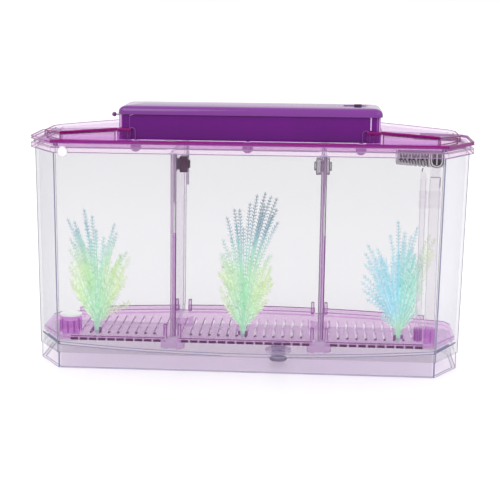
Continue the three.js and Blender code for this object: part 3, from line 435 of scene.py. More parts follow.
# height from the foot and radius: a peg, a little waist and a tip
STEM_PROFILE = (
    (-3, 1.2), (0.1, 1.2), (0.2, 2.3), (1.2, 2.4), (2.4, 1.9), (5, 1.6), (9, 1.3), (11, 0.8), (12, 0.1),
)
STRAND_SIDES = 5
STRAND_RADIUS = 0.38
STRAND_TAPER = 0.2
LEAF_HALF_THICK = 0.34
LEAF_HALF_BASE = 0.4
# faces over the leaflet's foot, two low points, tip and two high points
LEAFLET_FACES = ((0, 2, 1), (1, 2, 3), (0, 1, 4), (1, 3, 4), (0, 5, 2), (2, 5, 3), (0, 4, 5), (4, 3, 5))
BUSHY = 64
# reach of the leaflets, their pitch, how steeply they rise, how pale they get, how soon the strand leans out
BUSHY_LOOK = (1.9, 1.8, 0.9, 0.85, 0.62)
TALL_LOOK = (1.75, 2.1, 0.45, 0.2, 0.3)
# x, body, and the tall strands: how far out, how high and how far back each tip lies
PLANTS = (
    (-92, "plant_left", (
        (-0.42, 0.85, 0.1), (-0.9, 0.79, -0.15), (-0.2, 0.8, 0.3), (0, 0.72, -0.2), (0.52, 0.75, 0.2),
        (0.64, 0.7, -0.1), (0.35, 0.62, 0.35), (0.78, 0.53, 0.1), (0.97, 0.57, -0.2), (-0.98, 0.43, 0.4),
        (0.92, 0.34, -0.3), (1.08, 0.2, 0.1), (-0.6, 0.27, 0.4), (-0.55, 0.62, 0.4), (-0.75, 0.76, 0.2),
        (-0.8, 0.66, -0.3), (-0.35, 0.77, -0.1), (-0.68, 0.71, 0.1), (0.2, 0.66, 0.1), (-0.95, 0.56, 0.3),
    )),
    (-2, "plant_middle", (
        (0.62, 0.99, 0.1), (0.38, 0.98, -0.15), (0.8, 0.97, -0.1), (0.97, 0.95, 0.2), (0.98, 0.89, -0.25),
        (0.15, 0.91, 0.3), (-0.15, 0.88, -0.2), (-0.33, 0.87, 0.15), (-0.57, 0.81, 0.3), (-0.66, 0.67, -0.2),
        (-0.72, 0.54, 0.2), (-0.8, 0.44, -0.1), (0.84, 0.55, 0.35), (0.88, 0.42, -0.3), (0.9, 0.35, 0.1),
        (-0.6, 0.25, 0.35),
    )),
    (92, "plant_right", (
        (-0.1, 0.81, 0.15), (0.1, 0.75, -0.2), (-0.32, 0.71, 0.3), (-1.02, 0.65, -0.1), (-1.08, 0.58, 0.2),
        (-0.6, 0.56, -0.3), (0.15, 0.65, 0.35), (0.3, 0.72, -0.1), (0.5, 0.77, 0.2), (0.42, 0.6, -0.3),
        (0.92, 0.71, 0.4), (1.08, 0.68, 0.5), (-1.12, 0.44, -0.2), (-1.16, 0.38, 0.15), (-1.02, 0.3, 0.3),
    )),
)
MINT = linear((186, 230, 204))
LIME = linear((218, 236, 190))
STRAW = linear((228, 240, 198))
SKY = linear((178, 226, 236))
AQUA = linear((170, 226, 224))
TEAL = linear((96, 146, 166))
WHITE = (1, 1, 1)
# how fast the tips turn teal
TEAL_GAIN = {"plant_left": 2.0, "plant_middle": 3.6, "plant_right": 1.3}


class Shape:
    """Points, the faces over them and a tone for each point."""

    def __init__(self):
        self.verts = []
        self.faces = []
        self.tones = []

    def add(self, points, polys, tone):
        base = len(self.verts)
        self.verts.extend(tuple(point) for point in points)
        self.faces.extend(tuple(base + i for i in poly) for poly in polys)
        self.tones.extend([tone] * len(points))

    def add_tube(self, rings, tones):
        """A tube through rings of points, closed at both ends."""
        base = len(self.verts)
        sides = len(rings[0])
        for ring, tone in zip(rings, tones):
            self.add(ring, (), tone)
        last = base + (len(rings) - 1) * sides
        for start in range(base, last, sides):
            for k in range(sides):
                a = start + k
                b = start + (k + 1) % sides
                self.faces.append((a, b, b + sides, a + sides))
        self.faces.append(tuple(base + k for k in reversed(range(sides))))
        self.faces.append(tuple(last + k for k in range(sides)))


def blend_of(a, b, t):
    t = max(0.0, min(1.0, t))
    return tuple(p + (q - p) * t for p, q in zip(a, b))


def strand_tone(height, out, name, drift):
    """Mint in the middle, lime low and outside, sky blue and teal high up.

    The right plant is bluer on its left."""
    if name == "plant_right":
        low = blend_of(SKY if out < 0 else AQUA, LIME, 0.75 - height * 4)
        low = blend_of(low, MINT, out * 1.2)
    else:
        low = blend_of(MINT, LIME, abs(out) * 2.0 - 0.15 + drift)
        low = blend_of(low, STRAW, (abs(out) - 0.75) * 1.6)
    high = blend_of(SKY, TEAL, (height - 0.56) * TEAL_GAIN[name])
    tone = blend_of(low, high, (height - 0.42) * 3.4)
    if name == "plant_right":
        tone = blend_of(tone, LIME, (out - 0.5) * 4)
    return tone


def strand(shape, root, tip, tone_of, look):
    """A rib with pairs of small leaflets that point upward and alternate from side to side."""
    width, pitch, rise, bright, bend = look
    middle = root + Vector(((tip.x - root.x) * bend, (tip.y - root.y) * bend, (tip.z - root.z) * 0.6))
    length = (middle - root).length + (tip - middle).length
    count = max(6, int(length * 0.93 / pitch))
    depth = Vector((0, 1, 0))

    def at(t):
        return root * (1 - t) ** 2 + middle * (2 * t * (1 - t)) + tip * t * t

    joints, rings, tones = [], [], []
    for i in range(count + 1):
        t = i / count
        centre = at(t)
        ahead = (at(min(1, t + 0.01)) - at(max(0, t - 0.01))).normalized()
        side = ahead.cross(depth).normalized()
        across = side.cross(ahead).normalized()
        radius = STRAND_RADIUS - STRAND_TAPER * t
        joints.append((centre, ahead, side, across, radius))
        rings.append(circle(centre, side, across, radius, STRAND_SIDES))
        tones.append(tone_of(centre))
    shape.add_tube(rings, tones)

    for i in range(2, count):
        centre, ahead, side, across, radius = joints[i]
        t = i / count
        # shorter near the root and at the tip
        reach = width * min(1.0, 0.45 + 0.9 * t, 0.62 + (1 - t) * 3)
        thick = across * LEAF_HALF_THICK
        lift = ahead * LEAF_HALF_BASE
        for hand in (-1, 1):
            # every second pair is turned the other way
            turn = 0.35 * hand if i % 2 else -0.35 * hand
            outward = (side * hand + across * turn * 0.8).normalized()
            up = ahead * (pitch * rise * rng.uniform(0.75, 1.25))
            start = centre + outward * radius * 0.4
            mid = centre + outward * (reach * 0.5) + up * 0.42
            end = centre + outward * reach * rng.uniform(0.85, 1.12) + up
            low = mid - lift * 0.9
            high = mid + lift
            shade = rng.uniform(0.7, 1.14)
            leaf = blend_of(tuple(c * shade for c in tones[i]), WHITE, rng.uniform(0, bright))
            points = (start - lift, low - thick, low + thick, end, high - thick, high + thick)
            shape.add(points, LEAFLET_FACES, leaf)


def plant_tips(name, shares):
    """The tall strands, one between each two of them, and the bushy ones around the foot."""
    tips = list(shares)
    for i, (out, up, back) in enumerate(shares):
        nearby = shares[(i + 1) % len(shares)]
        tips.append((
            (out + nearby[0]) / 2 + rng.uniform(-0.08, 0.08),
            min(up, nearby[1]) * rng.uniform(0.84, 0.97),
            -(back + nearby[2]) / 2 + rng.uniform(-0.08, 0.08),
        ))
    for _ in range(BUSHY):
        up = rng.uniform(0.14, 0.6)
        out = rng.uniform(-1.0, 1.0) * (0.6 + 0.66 * up)
        if name == "plant_left":
            # the left plant is bare low down at its left
            up = max(0.16, up - 0.06)
            if out < -0.33:
                up = max(up, 0.07 - 0.34 * out)
        tips.append((out, up, rng.uniform(-0.42, 0.42)))
    return tips


def make_plant(x, name, shares):
    shape = Shape()
    foot = Vector((x, PLANT_Y, TRAY_TOP + FOOT_GAP))
    tall = 2 * len(shares)
    for i, (out, up, back) in enumerate(plant_tips(name, shares)):
        bushy = i >= tall
        rise = STEM_HEIGHT * (0.35 + 0.25 * (i % 3)) * (0.6 if bushy else 1)
        drift = rng.uniform(-0.25, 0.35)

        def tone_of(p):
            return strand_tone((p.z - foot.z) / PLANT_HEIGHT, (p.x - x) / PLANT_SPREAD, name, drift)

        root = foot + Vector((0, 0, rise))
        tip = foot + Vector((out * PLANT_SPREAD, back * PLANT_SPREAD, up * PLANT_HEIGHT))
        strand(shape, root, tip, tone_of, BUSHY_LOOK if bushy else TALL_LOOK)

    x_axis = Vector((1, 0, 0))
    y_axis = Vector((0, 1, 0))
    rings = []
    for z, radius in STEM_PROFILE:
        rings.append(circle(foot + Vector((0, 0, z)), x_axis, y_axis, radius, STEM_SIDES))
    shape.add_tube(rings, [MINT] * len(rings))

    mesh = bpy.data.meshes.new(name + "_strands")
    mesh.from_pydata([tuple(c * MM for c in vert) for vert in shape.verts], [], shape.faces)
    mesh.validate()
    mesh.update()
    obj = new_object(name + "_strands", mesh)
    mesh.materials.append(MATS["plant_green"])
    smooth(mesh, PLANT_SHARP_ANGLE)
    join_frame(obj, name, name, "plant_green")
    layer = mesh.color_attributes.new("tone", "FLOAT_COLOR", "POINT")
    for point, tone in zip(layer.data, shape.tones):
        point.color = (*tone, 1)


for place in PLANTS:
    make_plant(*place)


# Dressed copies of the solids: an edge that shows in clear plastic is a fine rod of deeper colour inside it,
# partly the plastic's own colour seen through its thickness and partly painted shade where the edge bends
# the light
ROD_SIDES = 6
# faces over a box's corners, which are counted along x, then y, then z
BOX_FACES = ((0, 2, 3, 1), (4, 5, 7, 6), (0, 1, 5, 4), (1, 3, 7, 5), (3, 2, 6, 7), (2, 0, 4, 6))
# how many radii inside its edge a rod lies, where no other value is given
INSIDE = 1.15
# radius of the rod, how many radii inside the edge it lies, and its material
LINES = {
    "tank corner": (0.42, INSIDE, "tank_line"),
    "tank corner inside": (0.18, INSIDE, "tank_soft"),
    "tank side": (0.24, INSIDE, "tank_soft"),
    "tank guide": (0.2, INSIDE, "guide_line"),
    "tank foot": (0.3, INSIDE, "tank_line"),
    "tank foot corner": (0.5, INSIDE, "base_line"),
    "rim corner": (0.2, INSIDE, "tank_soft"),
    "rim notch": (0.2, INSIDE, "tank_line"),
    # rim lines, partly painted shade under the brim
    "rim foot": (0.26, 0.6, "rim_line_and_shade"),
    "rim step": (0.24, 0.5, "rim_line_and_shade"),
    "base corner": (0.45, INSIDE, "base_line"),
    "base side": (0.26, INSIDE, "base_soft"),
    "base foot": (0.24, INSIDE, "base_soft"),
    "brim top": (0.42, 0.4, "lid_line"),
    "brim foot": (0.18, INSIDE, "lid_soft"),
    "brim right": (0.34, 0.6, "lid_line"),
    "brim left": (0.42, 0.6, "lid_mauve"),
    "brim back": (0.2, INSIDE, "lid_soft"),
    "roof front": (0.95, 0.3, "lid_line"),
    "roof side": (0.34, 0.5, "lid_line"),
    "roof back": (0.24, INSIDE, "lid_soft"),
    "divider front": (0.26, INSIDE, "guide_line"),
    "divider": (0.16, INSIDE, "guide_line"),
    "socket": (0.2, INSIDE, "tray_line"),
    "tray outline": (0.24, INSIDE, "tray_line"),
    # the slots' right edges: dark painted shade in the left half, a pale painted highlight in the right half
    "slot dark": (0.27, INSIDE, "tray_dark"),
    "slot pale": (0.24, INSIDE, "tray_slot_highlight"),
    "slot": (0.16, INSIDE, "tray_line"),
    "grey": (0.2, INSIDE, "grey_line"),
    "drain": (0.16, INSIDE, "drain_line"),
}


def solid_copy(name):
    work = bmesh.new()
    work.from_mesh(nodes[name].data)
    bmesh.ops.transform(work, matrix=nodes[name].matrix_world, verts=work.verts)
    bmesh.ops.remove_doubles(work, verts=work.verts, dist=1e-6)
    bmesh.ops.dissolve_limit(work, angle_limit=math.radians(0.4), verts=work.verts, edges=work.edges)
    return work


def edge_rods(work, pick, slots, least, angle):
    """Rods just inside the edges for which pick(middle, first, second, along) names a line.

    first and second are the normals of the faces beside the edge. Short and flat edges get no rod."""
    rods = []
    for edge in work.edges:
        if len(edge.link_faces) != 2 or edge.calc_length() < least * MM:
            continue
        if edge.calc_face_angle(0) < math.radians(angle):
            continue
        a, b = (vert.co / MM for vert in edge.verts)
        first, second = (face.normal for face in edge.link_faces)
        chosen = pick((a + b) / 2, first, second, (b - a).normalized())
        if chosen:
            radius, depth, key = LINES[chosen]
            inward = -(first + second).normalized() * radius * depth
            rods.append((a + inward, b + inward, radius, slots.index(key)))
    for a, b, radius, index in rods:
        add_rod(work, a, b, radius, index)


def add_rod(work, a, b, radius, index):
    along = (b - a).normalized()
    side = along.orthogonal().normalized()
    across = along.cross(side)
    rings = []
    for end in (a, b):
        rings.append([work.verts.new(point * MM) for point in circle(end, side, across, radius, ROD_SIDES)])
    made = [work.faces.new(tuple(reversed(rings[0]))), work.faces.new(tuple(rings[1]))]
    for k in range(ROD_SIDES):
        nearby = (k + 1) % ROD_SIDES
        made.append(work.faces.new((rings[0][k], rings[0][nearby], rings[1][nearby], rings[1][k])))
    for face in made:
        face.material_index = index


def add_box(work, low, high, index):
    corners = []
    for z in (low[2], high[2]):
        for y in (low[1], high[1]):
            for x in (low[0], high[0]):
                corners.append(work.verts.new(Vector((x, y, z)) * MM))
    for loop in BOX_FACES:
        work.faces.new([corners[i] for i in loop]).material_index = index


def dressed(name, slots, body, pick_edge=None, pick_face=None, least=1.5, angle=25, bevel=0.0,
            extra=(), boxes=(), slot=None, shape=None):
    """A copy of a CAD node with materials of its own.

    shape moves its points, pick_face sends faces to other materials, and pick_edge names the lines along
    its edges. extra has more rods as (end, end, radius, material), and boxes (corner, corner, material)."""
    work = solid_copy(name)
    if shape:
        for vert in work.verts:
            vert.co = shape(vert.co / MM) * MM
    if pick_face:
        for face in work.faces:
            key = pick_face(face.calc_center_median() / MM, face.normal)
            if key:
                face.material_index = slots.index(key)
    if pick_edge:
        edge_rods(work, pick_edge, slots, least, angle)
    for a, b, radius, key in extra:
        add_rod(work, Vector(a), Vector(b), radius, slots.index(key))
    for low, high, key in boxes:
        add_box(work, low, high, slots.index(key))

    mesh = bpy.data.meshes.new(name + "_dressed")
    work.to_mesh(mesh)
    work.free()
    obj = new_object(name + "_dressed", mesh)
    for key in slots:
        mesh.materials.append(MATS[key])
    if bevel:
        mod = obj.modifiers.new("bevel", "BEVEL")
        mod.width = bevel * MM
        mod.segments = 3
        mod.limit_method = "ANGLE"
        mod.angle_limit = math.radians(SHARP_ANGLE)
        mod.use_clamp_overlap = True
    smooth(mesh, SHARP_ANGLE)
    join_frame(obj, body, name, slot or slots[0])


def chain(points, radius, key):
    """Rods from each point to the next."""
    return [(a, b, radius, key) for a, b in zip(points, points[1:])]


def bow(half, foot, tip, knee, shoulder, narrow):
    """The (x, z) outline of an arch or a U: along one side, over the rounded tip and back.

    The knee and the shoulder are heights from the tip, and narrow is the shoulder's share of the half."""
    left = [(-half, foot), (-half, tip + knee), (-half * narrow, tip + shoulder)]
    right = [(-x, z) for x, z in reversed(left)]
    return left + [(0, tip)] + right


def upright(along):
    return abs(along.z) > 0.9


def level(along):
    return abs(along.z) < 0.2


def near_divider(x, reach):
    return abs(abs(x) - DIVIDER_X) < reach


# Tank and base
# the walls' upright lines are drawn from the front back to here
SIDE_SHOWN_TO = -10
OUTSIDE_REACH = 1.6
FOOT_LOW = LIP_BOTTOM + 0.05
FOOT_HIGH = 17


def tank_upright(middle):
    if middle.z > RIM_BOTTOM:
        return "rim corner" if middle.y < 0 else None
    if near_divider(middle.x, 3):
        past = middle.x - math.copysign(DIVIDER_X, middle.x)
        return "tank guide" if past > 0.5 else None
    if middle.y > SIDE_SHOWN_TO:
        return None
    if abs(middle.x) < FRONT_HALF + 3:
        return "tank corner" if middle.y < FRONT_Y + OUTSIDE_REACH else "tank corner inside"
    return "tank side" if abs(middle.x) > HALF_LENGTH - OUTSIDE_REACH else None


def rim_edge(middle, first, second):
    if middle.y >= 0:
        return None
    if near_divider(middle.x, 4) and middle.y < FRONT_Y:
        return "rim notch"
    if middle.z < RIM_BOTTOM + 0.3 and first.z + second.z < -0.3:
        return "rim foot"
    return "rim step" if middle.z < RIM_TOP - 0.5 else None


def tank_edge(middle, first, second, along):
    if upright(along):
        return tank_upright(middle)
    if middle.z > RIM_BOTTOM - 0.5:
        return rim_edge(middle, first, second)
    if FOOT_LOW < middle.z < FOOT_HIGH and level(along) and abs(along.x) > 0.3 and middle.y < 0:
        return "tank foot corner" if abs(middle.x) > FRONT_HALF - 2 else "tank foot"
    return None


def tank_face(centre, normal):
    if centre.z > RIM_BOTTOM:
        return "tank_rim"
    if centre.z <= TRAY_TOP:
        return None
    if normal.y < -0.95 and centre.y < FRONT_Y + 2.5:
        return "tank_front"
    slanted = normal.y < -0.2 and abs(normal.x) > 0.6 and abs(centre.x) > FRONT_HALF - 2
    outside = centre.x * normal.x > 0
    return "tank_side" if slanted and outside else None


def base_edge(middle, first, second, along):
    if middle.y >= 0:
        return None
    if abs(middle.x) > FRONT_HALF - 5 and middle.z < LIP_BOTTOM - 0.5 and upright(along):
        if middle.y < FRONT_Y + 3.8:
            return "base corner"
        return "base side" if abs(middle.x) > BASE_HALF - 1 else None
    return "base foot" if level(along) and middle.z < 0.6 and first.z + second.z > -1.2 else None


def base_face(centre, normal):
    return "base_pale" if abs(normal.x) > 0.3 and centre.y < 0 else None


dressed(
    "tank_shell",
    ("tank_clear", "tank_front", "tank_side", "tank_rim", "tank_line", "tank_soft", "rim_line_and_shade", "base_line",
     "guide_line"),
    "tank", tank_edge, tank_face, least=1.0, angle=8,
)
dressed("base_ring", ("base_lilac", "base_pale", "base_line", "base_soft"), "tank", base_edge, base_face)

# Lid with its lugs, and the roof's front wall over the lamp's ends
BRIM_BOTTOM = 137.2
LUG_FRONT = FRONT_Y + 2.5
# half width, bottom and top of each step of a lug's half disc
LUG_STEPS = ((1.2, 132.8, 133.15), (1.8, 133.15, 133.7), (2.5, 133.7, 134.4), (3.1, 134.4, 137.1))
TAB_END = 69
ARCH_PLACE = 69
ARCH_HALF = 2.2
ARCH_TOP = 146.4


def lug_boxes():
    """A purple half disc in steps inside each lug, whose front is one face with the skirt's."""
    boxes = []
    for x in LUG_PLACES:
        for half, low, high in LUG_STEPS:
            boxes.append(((x - half, LUG_FRONT, low), (x + half, LUG_FRONT + 0.4, high), "tab_film"))
    return boxes


def near_lug(x):
    return any(abs(x - place) < 5 for place in LUG_PLACES)


def lid_edge(middle, first, second, along):
    faces_up = first.z + second.z > 0.5
    if middle.z < SKIRT_BOTTOM + 0.2:
        return None
    if middle.z < LID_TOP + 0.3:
        if middle.y < FRONT_Y - 1.5:
            return "brim top" if middle.z > LID_TOP - 1 else "brim foot"
        if abs(middle.x) > FRONT_HALF + 1 and middle.y < BACK_FROM:
            return "brim right" if middle.x > 0 else "brim left"
        return "brim back" if middle.y > BACK_FROM else None
    if abs(middle.x) < POCKET_HALF + 0.5:
        return None
    if middle.y < FRONT_Y + 8 and abs(middle.x) < FRONT_HALF - 4 and faces_up:
        return "roof front"
    if middle.y < 0:
        return "roof side"
    return "roof back" if faces_up else None


def lid_face(centre, normal):
    if abs(centre.z - SKIRT_BOTTOM) < 0.1 and normal.z < -0.9:
        return "lid_skirt"
    if centre.z < BRIM_BOTTOM - 0.1 and centre.y < FRONT_Y + 4.2 and abs(normal.z) < 0.9:
        lug_side = near_lug(centre.x) and centre.z < SKIRT_BOTTOM + 1 and abs(normal.y) < 0.5
        return "lug_purple" if lug_side else "lid_skirt"
    if normal.y < -0.9 and centre.y < FRONT_Y - 2:
        return "lid_edge"
    if abs(normal.z) < 0.5 and centre.z < LID_TOP + 0.2 and centre.x > FRONT_HALF - 5 and normal.x > 0.3:
        return "lid_edge"
    if normal.y < -0.8 and centre.y < FRONT_Y + 9 and centre.z > LID_TOP - 1:
        return "lid_front"
    return None


def roof_tabs():
    """The roof's front wall runs on over the ends of the lamp, up to an arch at each end."""
    boxes, rods = [], []
    face = ROOF_FRONT + 0.35
    ridge = ROOF_RIDGE - 0.4
    for hand in (-1, 1):
        low, high = sorted((hand * POCKET_HALF, hand * TAB_END))
        foot = (low, ROOF_FRONT + 0.1, LID_TOP - 0.5)
        boxes.append((foot, (high, ROOF_FRONT + 0.9, ROOF_RIDGE), "tab_film"))
        rods.append(((low, face, ridge), (high, face, ridge), 0.95, "lid_line"))
        outline = bow(ARCH_HALF, LID_TOP, ARCH_TOP, -1.2, -0.3, 0.6)
        arch = [(hand * ARCH_PLACE + x, face + 0.3, z) for x, z in outline]
        rods += chain(arch, 0.22, "arch_line")
    return boxes, rods


tab_boxes, tab_rods = roof_tabs()
dressed(
    "lid",
    ("lid_purple", "lid_skirt", "lid_front", "lid_edge", "lid_line", "lid_soft", "lid_mauve", "lug_purple",
     "arch_line", "tab_film"),
    "lid", lid_edge, lid_face, least=2.0, extra=tab_rods, boxes=tab_boxes + lug_boxes(),
)

# Dividers and their grips
RIB_OUT = 2.05
RIB_Y = FRONT_Y + 5.9
RIB_FROM = TRAY_TOP + 0.8
RIB_MIDDLE = 84
RIB_TO = 131
GLINT_OUT = 1.2


def divider_edge(middle, first, second, along):
    return "divider front" if upright(along) and middle.y < FRONT_Y + 6 else "divider"


def divider_face(centre, normal):
    return "divider_edge" if abs(normal.y) > 0.9 and centre.y < 0 else None


def divider_rib(x):
    """A stiffening rib behind the front edge, with a dark bead and a glint above."""
    boxes = [((x + 0.6, RIB_Y - 0.4, RIB_FROM), (x + RIB_OUT, RIB_Y + 0.4, RIB_MIDDLE), "divider_edge")]
    rods = []
    for out, low, high, radius, key in (
        (RIB_OUT, RIB_FROM, RIB_MIDDLE, 0.38, "divider_line"),
        (RIB_OUT, RIB_MIDDLE, RIB_TO, 0.28, "divider_line"),
        (GLINT_OUT, RIB_MIDDLE, RIB_TO, 0.42, "divider_glint"),
    ):
        rods.append(((x + out, RIB_Y, low), (x + out, RIB_Y, high), radius, key))
    return boxes, rods


def grip_edge(middle, first, second, along):
    return "grey"


for side, x in (("left", -DIVIDER_X), ("right", DIVIDER_X)):
    rib_boxes, rib_rods = divider_rib(x)
    dressed(
        "divider_" + side, ("divider_clear", "divider_edge", "divider_line", "divider_glint", "guide_line"),
        "divider_" + side, divider_edge, divider_face, extra=rib_rods, boxes=rib_boxes,
    )
dressed("grip_left", ("grip_plum",), "divider_left", bevel=0.4)
dressed("grip_right", ("grip_grey", "grey_line"), "divider_right", grip_edge, least=0.8, slot="grip_plum")

# Tray
NOTCHES_ASIDE = 19
SLOTS_ASIDE = 18
DASH_HALF = 2.2
DASH_Y = FRONT_Y + 3.9
DASH_Z = 18.2
SLOT_START_Y = FRONT_Y + 15.6
SLOTS_HALF = FRONT_HALF - 9
FRONT_LINE_Y = FRONT_Y + 5
DIVIDER_GAP = 4
STREAKS = 10
# side, top of the streaks, step from one to the next, and radius
SOCKETS = ((-1, 27.2, 1, 0.58), (1, 27.3, 2, 0.42))


def tray_edge(middle, first, second, along):
    if middle.z < TRAY_TOP - 1.2:
        return None
    if middle.z > TRAY_TOP + 0.4:
        return "socket"
    if abs(along.y) > 0.95 and abs(middle.x) < SLOTS_HALF and first.z + second.z > 0.2:
        right_side = first.x + second.x > 0.3
        # the same edge is dark painted shade at the left and a pale painted highlight at the right
        if middle.x < 0:
            return "slot dark" if right_side else None
        return "slot pale" if right_side else "slot"
    if abs(along.x) > 0.3 and (abs(along.y) > 0.01 or middle.y > BACK_FROM):
        return "tray outline"
    return None


def tray_face(centre, normal):
    from_socket = math.hypot(abs(centre.x) - SOCKET_X, centre.y - TUBE_Y)
    if centre.z > TRAY_TOP + 0.5 and from_socket < SOCKET_RADIUS + 1.2:
        return "tray_socket"
    if centre.z < TRAY_TOP - 3:
        return "tray_foot"
    return "tray_front" if normal.y < -0.9 and centre.y < FRONT_Y + 8 else None


def tray_marks():
    """Dark marks between the notches and at the slots' front ends, a front line and the sockets' streaks."""
    rods = []
    for i in range(-NOTCHES_ASIDE, NOTCHES_ASIDE):
        x = (i + 0.5) * SLOT_PITCH
        if not near_divider(x, 4) and abs(x) <= FRONT_HALF - 8:
            ends = [(x + hand * DASH_HALF, DASH_Y, DASH_Z) for hand in (-1, 1)]
            rods.append((*ends, 0.85, "tray_dark"))
    z = TRAY_TOP - 0.4
    for i in range(-SLOTS_ASIDE, SLOTS_ASIDE + 1):
        x = i * SLOT_PITCH
        if not near_divider(x, 9) and abs(x) <= FRONT_HALF - 16:
            rods.append(((x - 0.3, SLOT_START_Y, z), (x + 0.3, SLOT_START_Y + 1.6, z), 0.62, "tray_dark"))
    z = TRAY_TOP - 0.3
    for x0, x1 in (
        (-SLOTS_HALF, -DIVIDER_X - DIVIDER_GAP),
        (-DIVIDER_X + DIVIDER_GAP, DIVIDER_X - DIVIDER_GAP),
        (DIVIDER_X + DIVIDER_GAP, SLOTS_HALF),
    ):
        rods.append(((x0, FRONT_LINE_Y, z), (x1, FRONT_LINE_Y, z), 0.38, "tray_line"))
    reach = SOCKET_RADIUS - 0.35
    for hand, top, step, radius in SOCKETS:
        for k in range(0, STREAKS, step):
            turn = 2 * math.pi * (k + 0.3) / STREAKS
            place = (hand * SOCKET_X + reach * math.cos(turn), TUBE_Y + reach * math.sin(turn))
            rods.append(((*place, TRAY_TOP + 0.2), (*place, top), radius if k % 3 else 0.3, "tray_streak"))
    return rods


dressed(
    "bottom_tray",
    ("tray_purple", "tray_front", "tray_foot", "tray_socket", "tray_streak", "tray_line", "tray_dark",
     "tray_slot_highlight"),
    "tray", tray_edge, tray_face, extra=tray_marks(),
)


# Lamp
CAP_RIGHT = 1.3
CAP_CURVE = 2.4
BODY_RIGHT = 1.35
BODY_LEFT = 0.9


def cap_shape(point):
    """The cap's right end comes out a little, and both ends are drawn in towards the top in a wide curve."""
    if point.x > LAMP_END:
        point.x += CAP_RIGHT
    if point.z > CAP_SHOULDER and abs(point.x) > LAMP_END:
        height = min(1, (point.z - CAP_SHOULDER) / (CAP_TOP - CAP_SHOULDER))
        point.x -= math.copysign(CAP_CURVE * (1 - math.sqrt(1 - height * height)), point.x)
    return point


def body_shape(point):
    """The body's ends come out nearly flush with the cap."""
    if point.z > LID_TOP and abs(point.x) > LAMP_END:
        point.x += BODY_RIGHT if point.x > 0 else -BODY_LEFT
    return point


# End faces of the lamp get the paler purple: a painted highlight on its rounded ends
def lamp_face(centre, normal):
    at_end = centre.z > LID_TOP + 1 and abs(centre.x) > LAMP_END + 2
    return "lamp_end" if at_end and abs(normal.x) > 0.5 else None


def lamp_marks():
    """A rod along the front foot, and glints on the rounded corners."""
    face = LAMP_FRONT - 0.05
    inset = face + 0.3
    foot = 139.75
    return (
        ((-73, inset, foot), (73, inset, foot), 0.5, "lamp_purple"),
        ((71.5, face, 146.6), (71.5, face, 154.6), 0.42, "lamp_glint"),
        ((70.6, face, 154.2), (72.4, face, 154.6), 0.4, "lamp_glint"),
        # a paler line at the front panel's left edge: a painted highlight
        ((-70.2, face, 146), (-70.2, face, 153.6), 0.16, "lamp_end"),
        ((-70.2, face, 153.6), (-66, face, 154.7), 0.2, "lamp_glint"),
        ((-75.4, inset, 146.4), (-75.4, inset, 154), 0.4, "lamp_glint"),
        ((76.6, face + 0.9, 140.5), (76.6, face + 0.9, 154), 0.35, "lamp_glint"),
    )


dressed(
    "lamp_body", ("lamp_purple", "lamp_end", "lamp_glint"), "lamp",
    pick_face=lamp_face, bevel=0.4, extra=lamp_marks(), shape=body_shape,
)
dressed("lamp_cap", ("cap_purple",), "lamp", bevel=0.2, shape=cap_shape)
dressed("end_bead", ("bead_plum",), "lamp", slot="tray_purple")


# Port plug and socket cap
def plug_flange():
    """A thin flange around the port plug, shaded at its rim."""
    low, high = (Vector(corner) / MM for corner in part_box("port_plug"))
    centre = Vector(((low.x + high.x) / 2, low.y + 0.35, (low.z + high.z) / 2))
    rods = []
    for reach, radius, key in ((2.75, 0.35, "white_plastic"), (3.2, 0.16, "plug_shade")):
        ring = circle(centre, Vector((1, 0, 0)), Vector((0, 0, 1)), reach, 24)
        rods += chain(ring + ring[:1], radius, key)
    return rods


dressed("port_plug", ("white_plastic", "plug_shade"), "port_plug", extra=plug_flange())
dressed("socket_cap", ("cap_white",), "socket_cap", bevel=0.3, slot="white_plastic")

# Outlet cage
CAGE_Y = FRONT_Y + 7.55
CAGE_TOP = 134
CAGE_TIP = 88
CAGE_GAPS = 10
CAGE_PITCH = 1.75
GAP_WIDTH = 0.85
GAP_ROW_BOTTOM = 131.2
LOW_ROW_TOP = 130.3
NOSE_X = 110.2
NOSE_Y = FRONT_Y + 6.1
NOSE_HALF = 3.1
NOSE_BAR_BOTTOM = 127.4
NOSE_BAR_X = 1.25
NOSE_BAR_HALF = 0.85
# half width, bottom, radius and material of each U around the nose's bars
NOSE_RINGS = (
    (NOSE_HALF - 0.6, 126.8, 0.24, "nose_dark"),
    (NOSE_HALF, 126.1, 0.3, "cage_pale"),
    (NOSE_HALF + 0.55, 125.6, 0.2, "nose_dark"),
    (NOSE_HALF + 1.1, 125.2, 0.26, "cage_pale"),
)


def cage_low(x):
    """The cage's sloping bottom edge."""
    return 128.4 - (x - CAGE_TIP) * 0.155


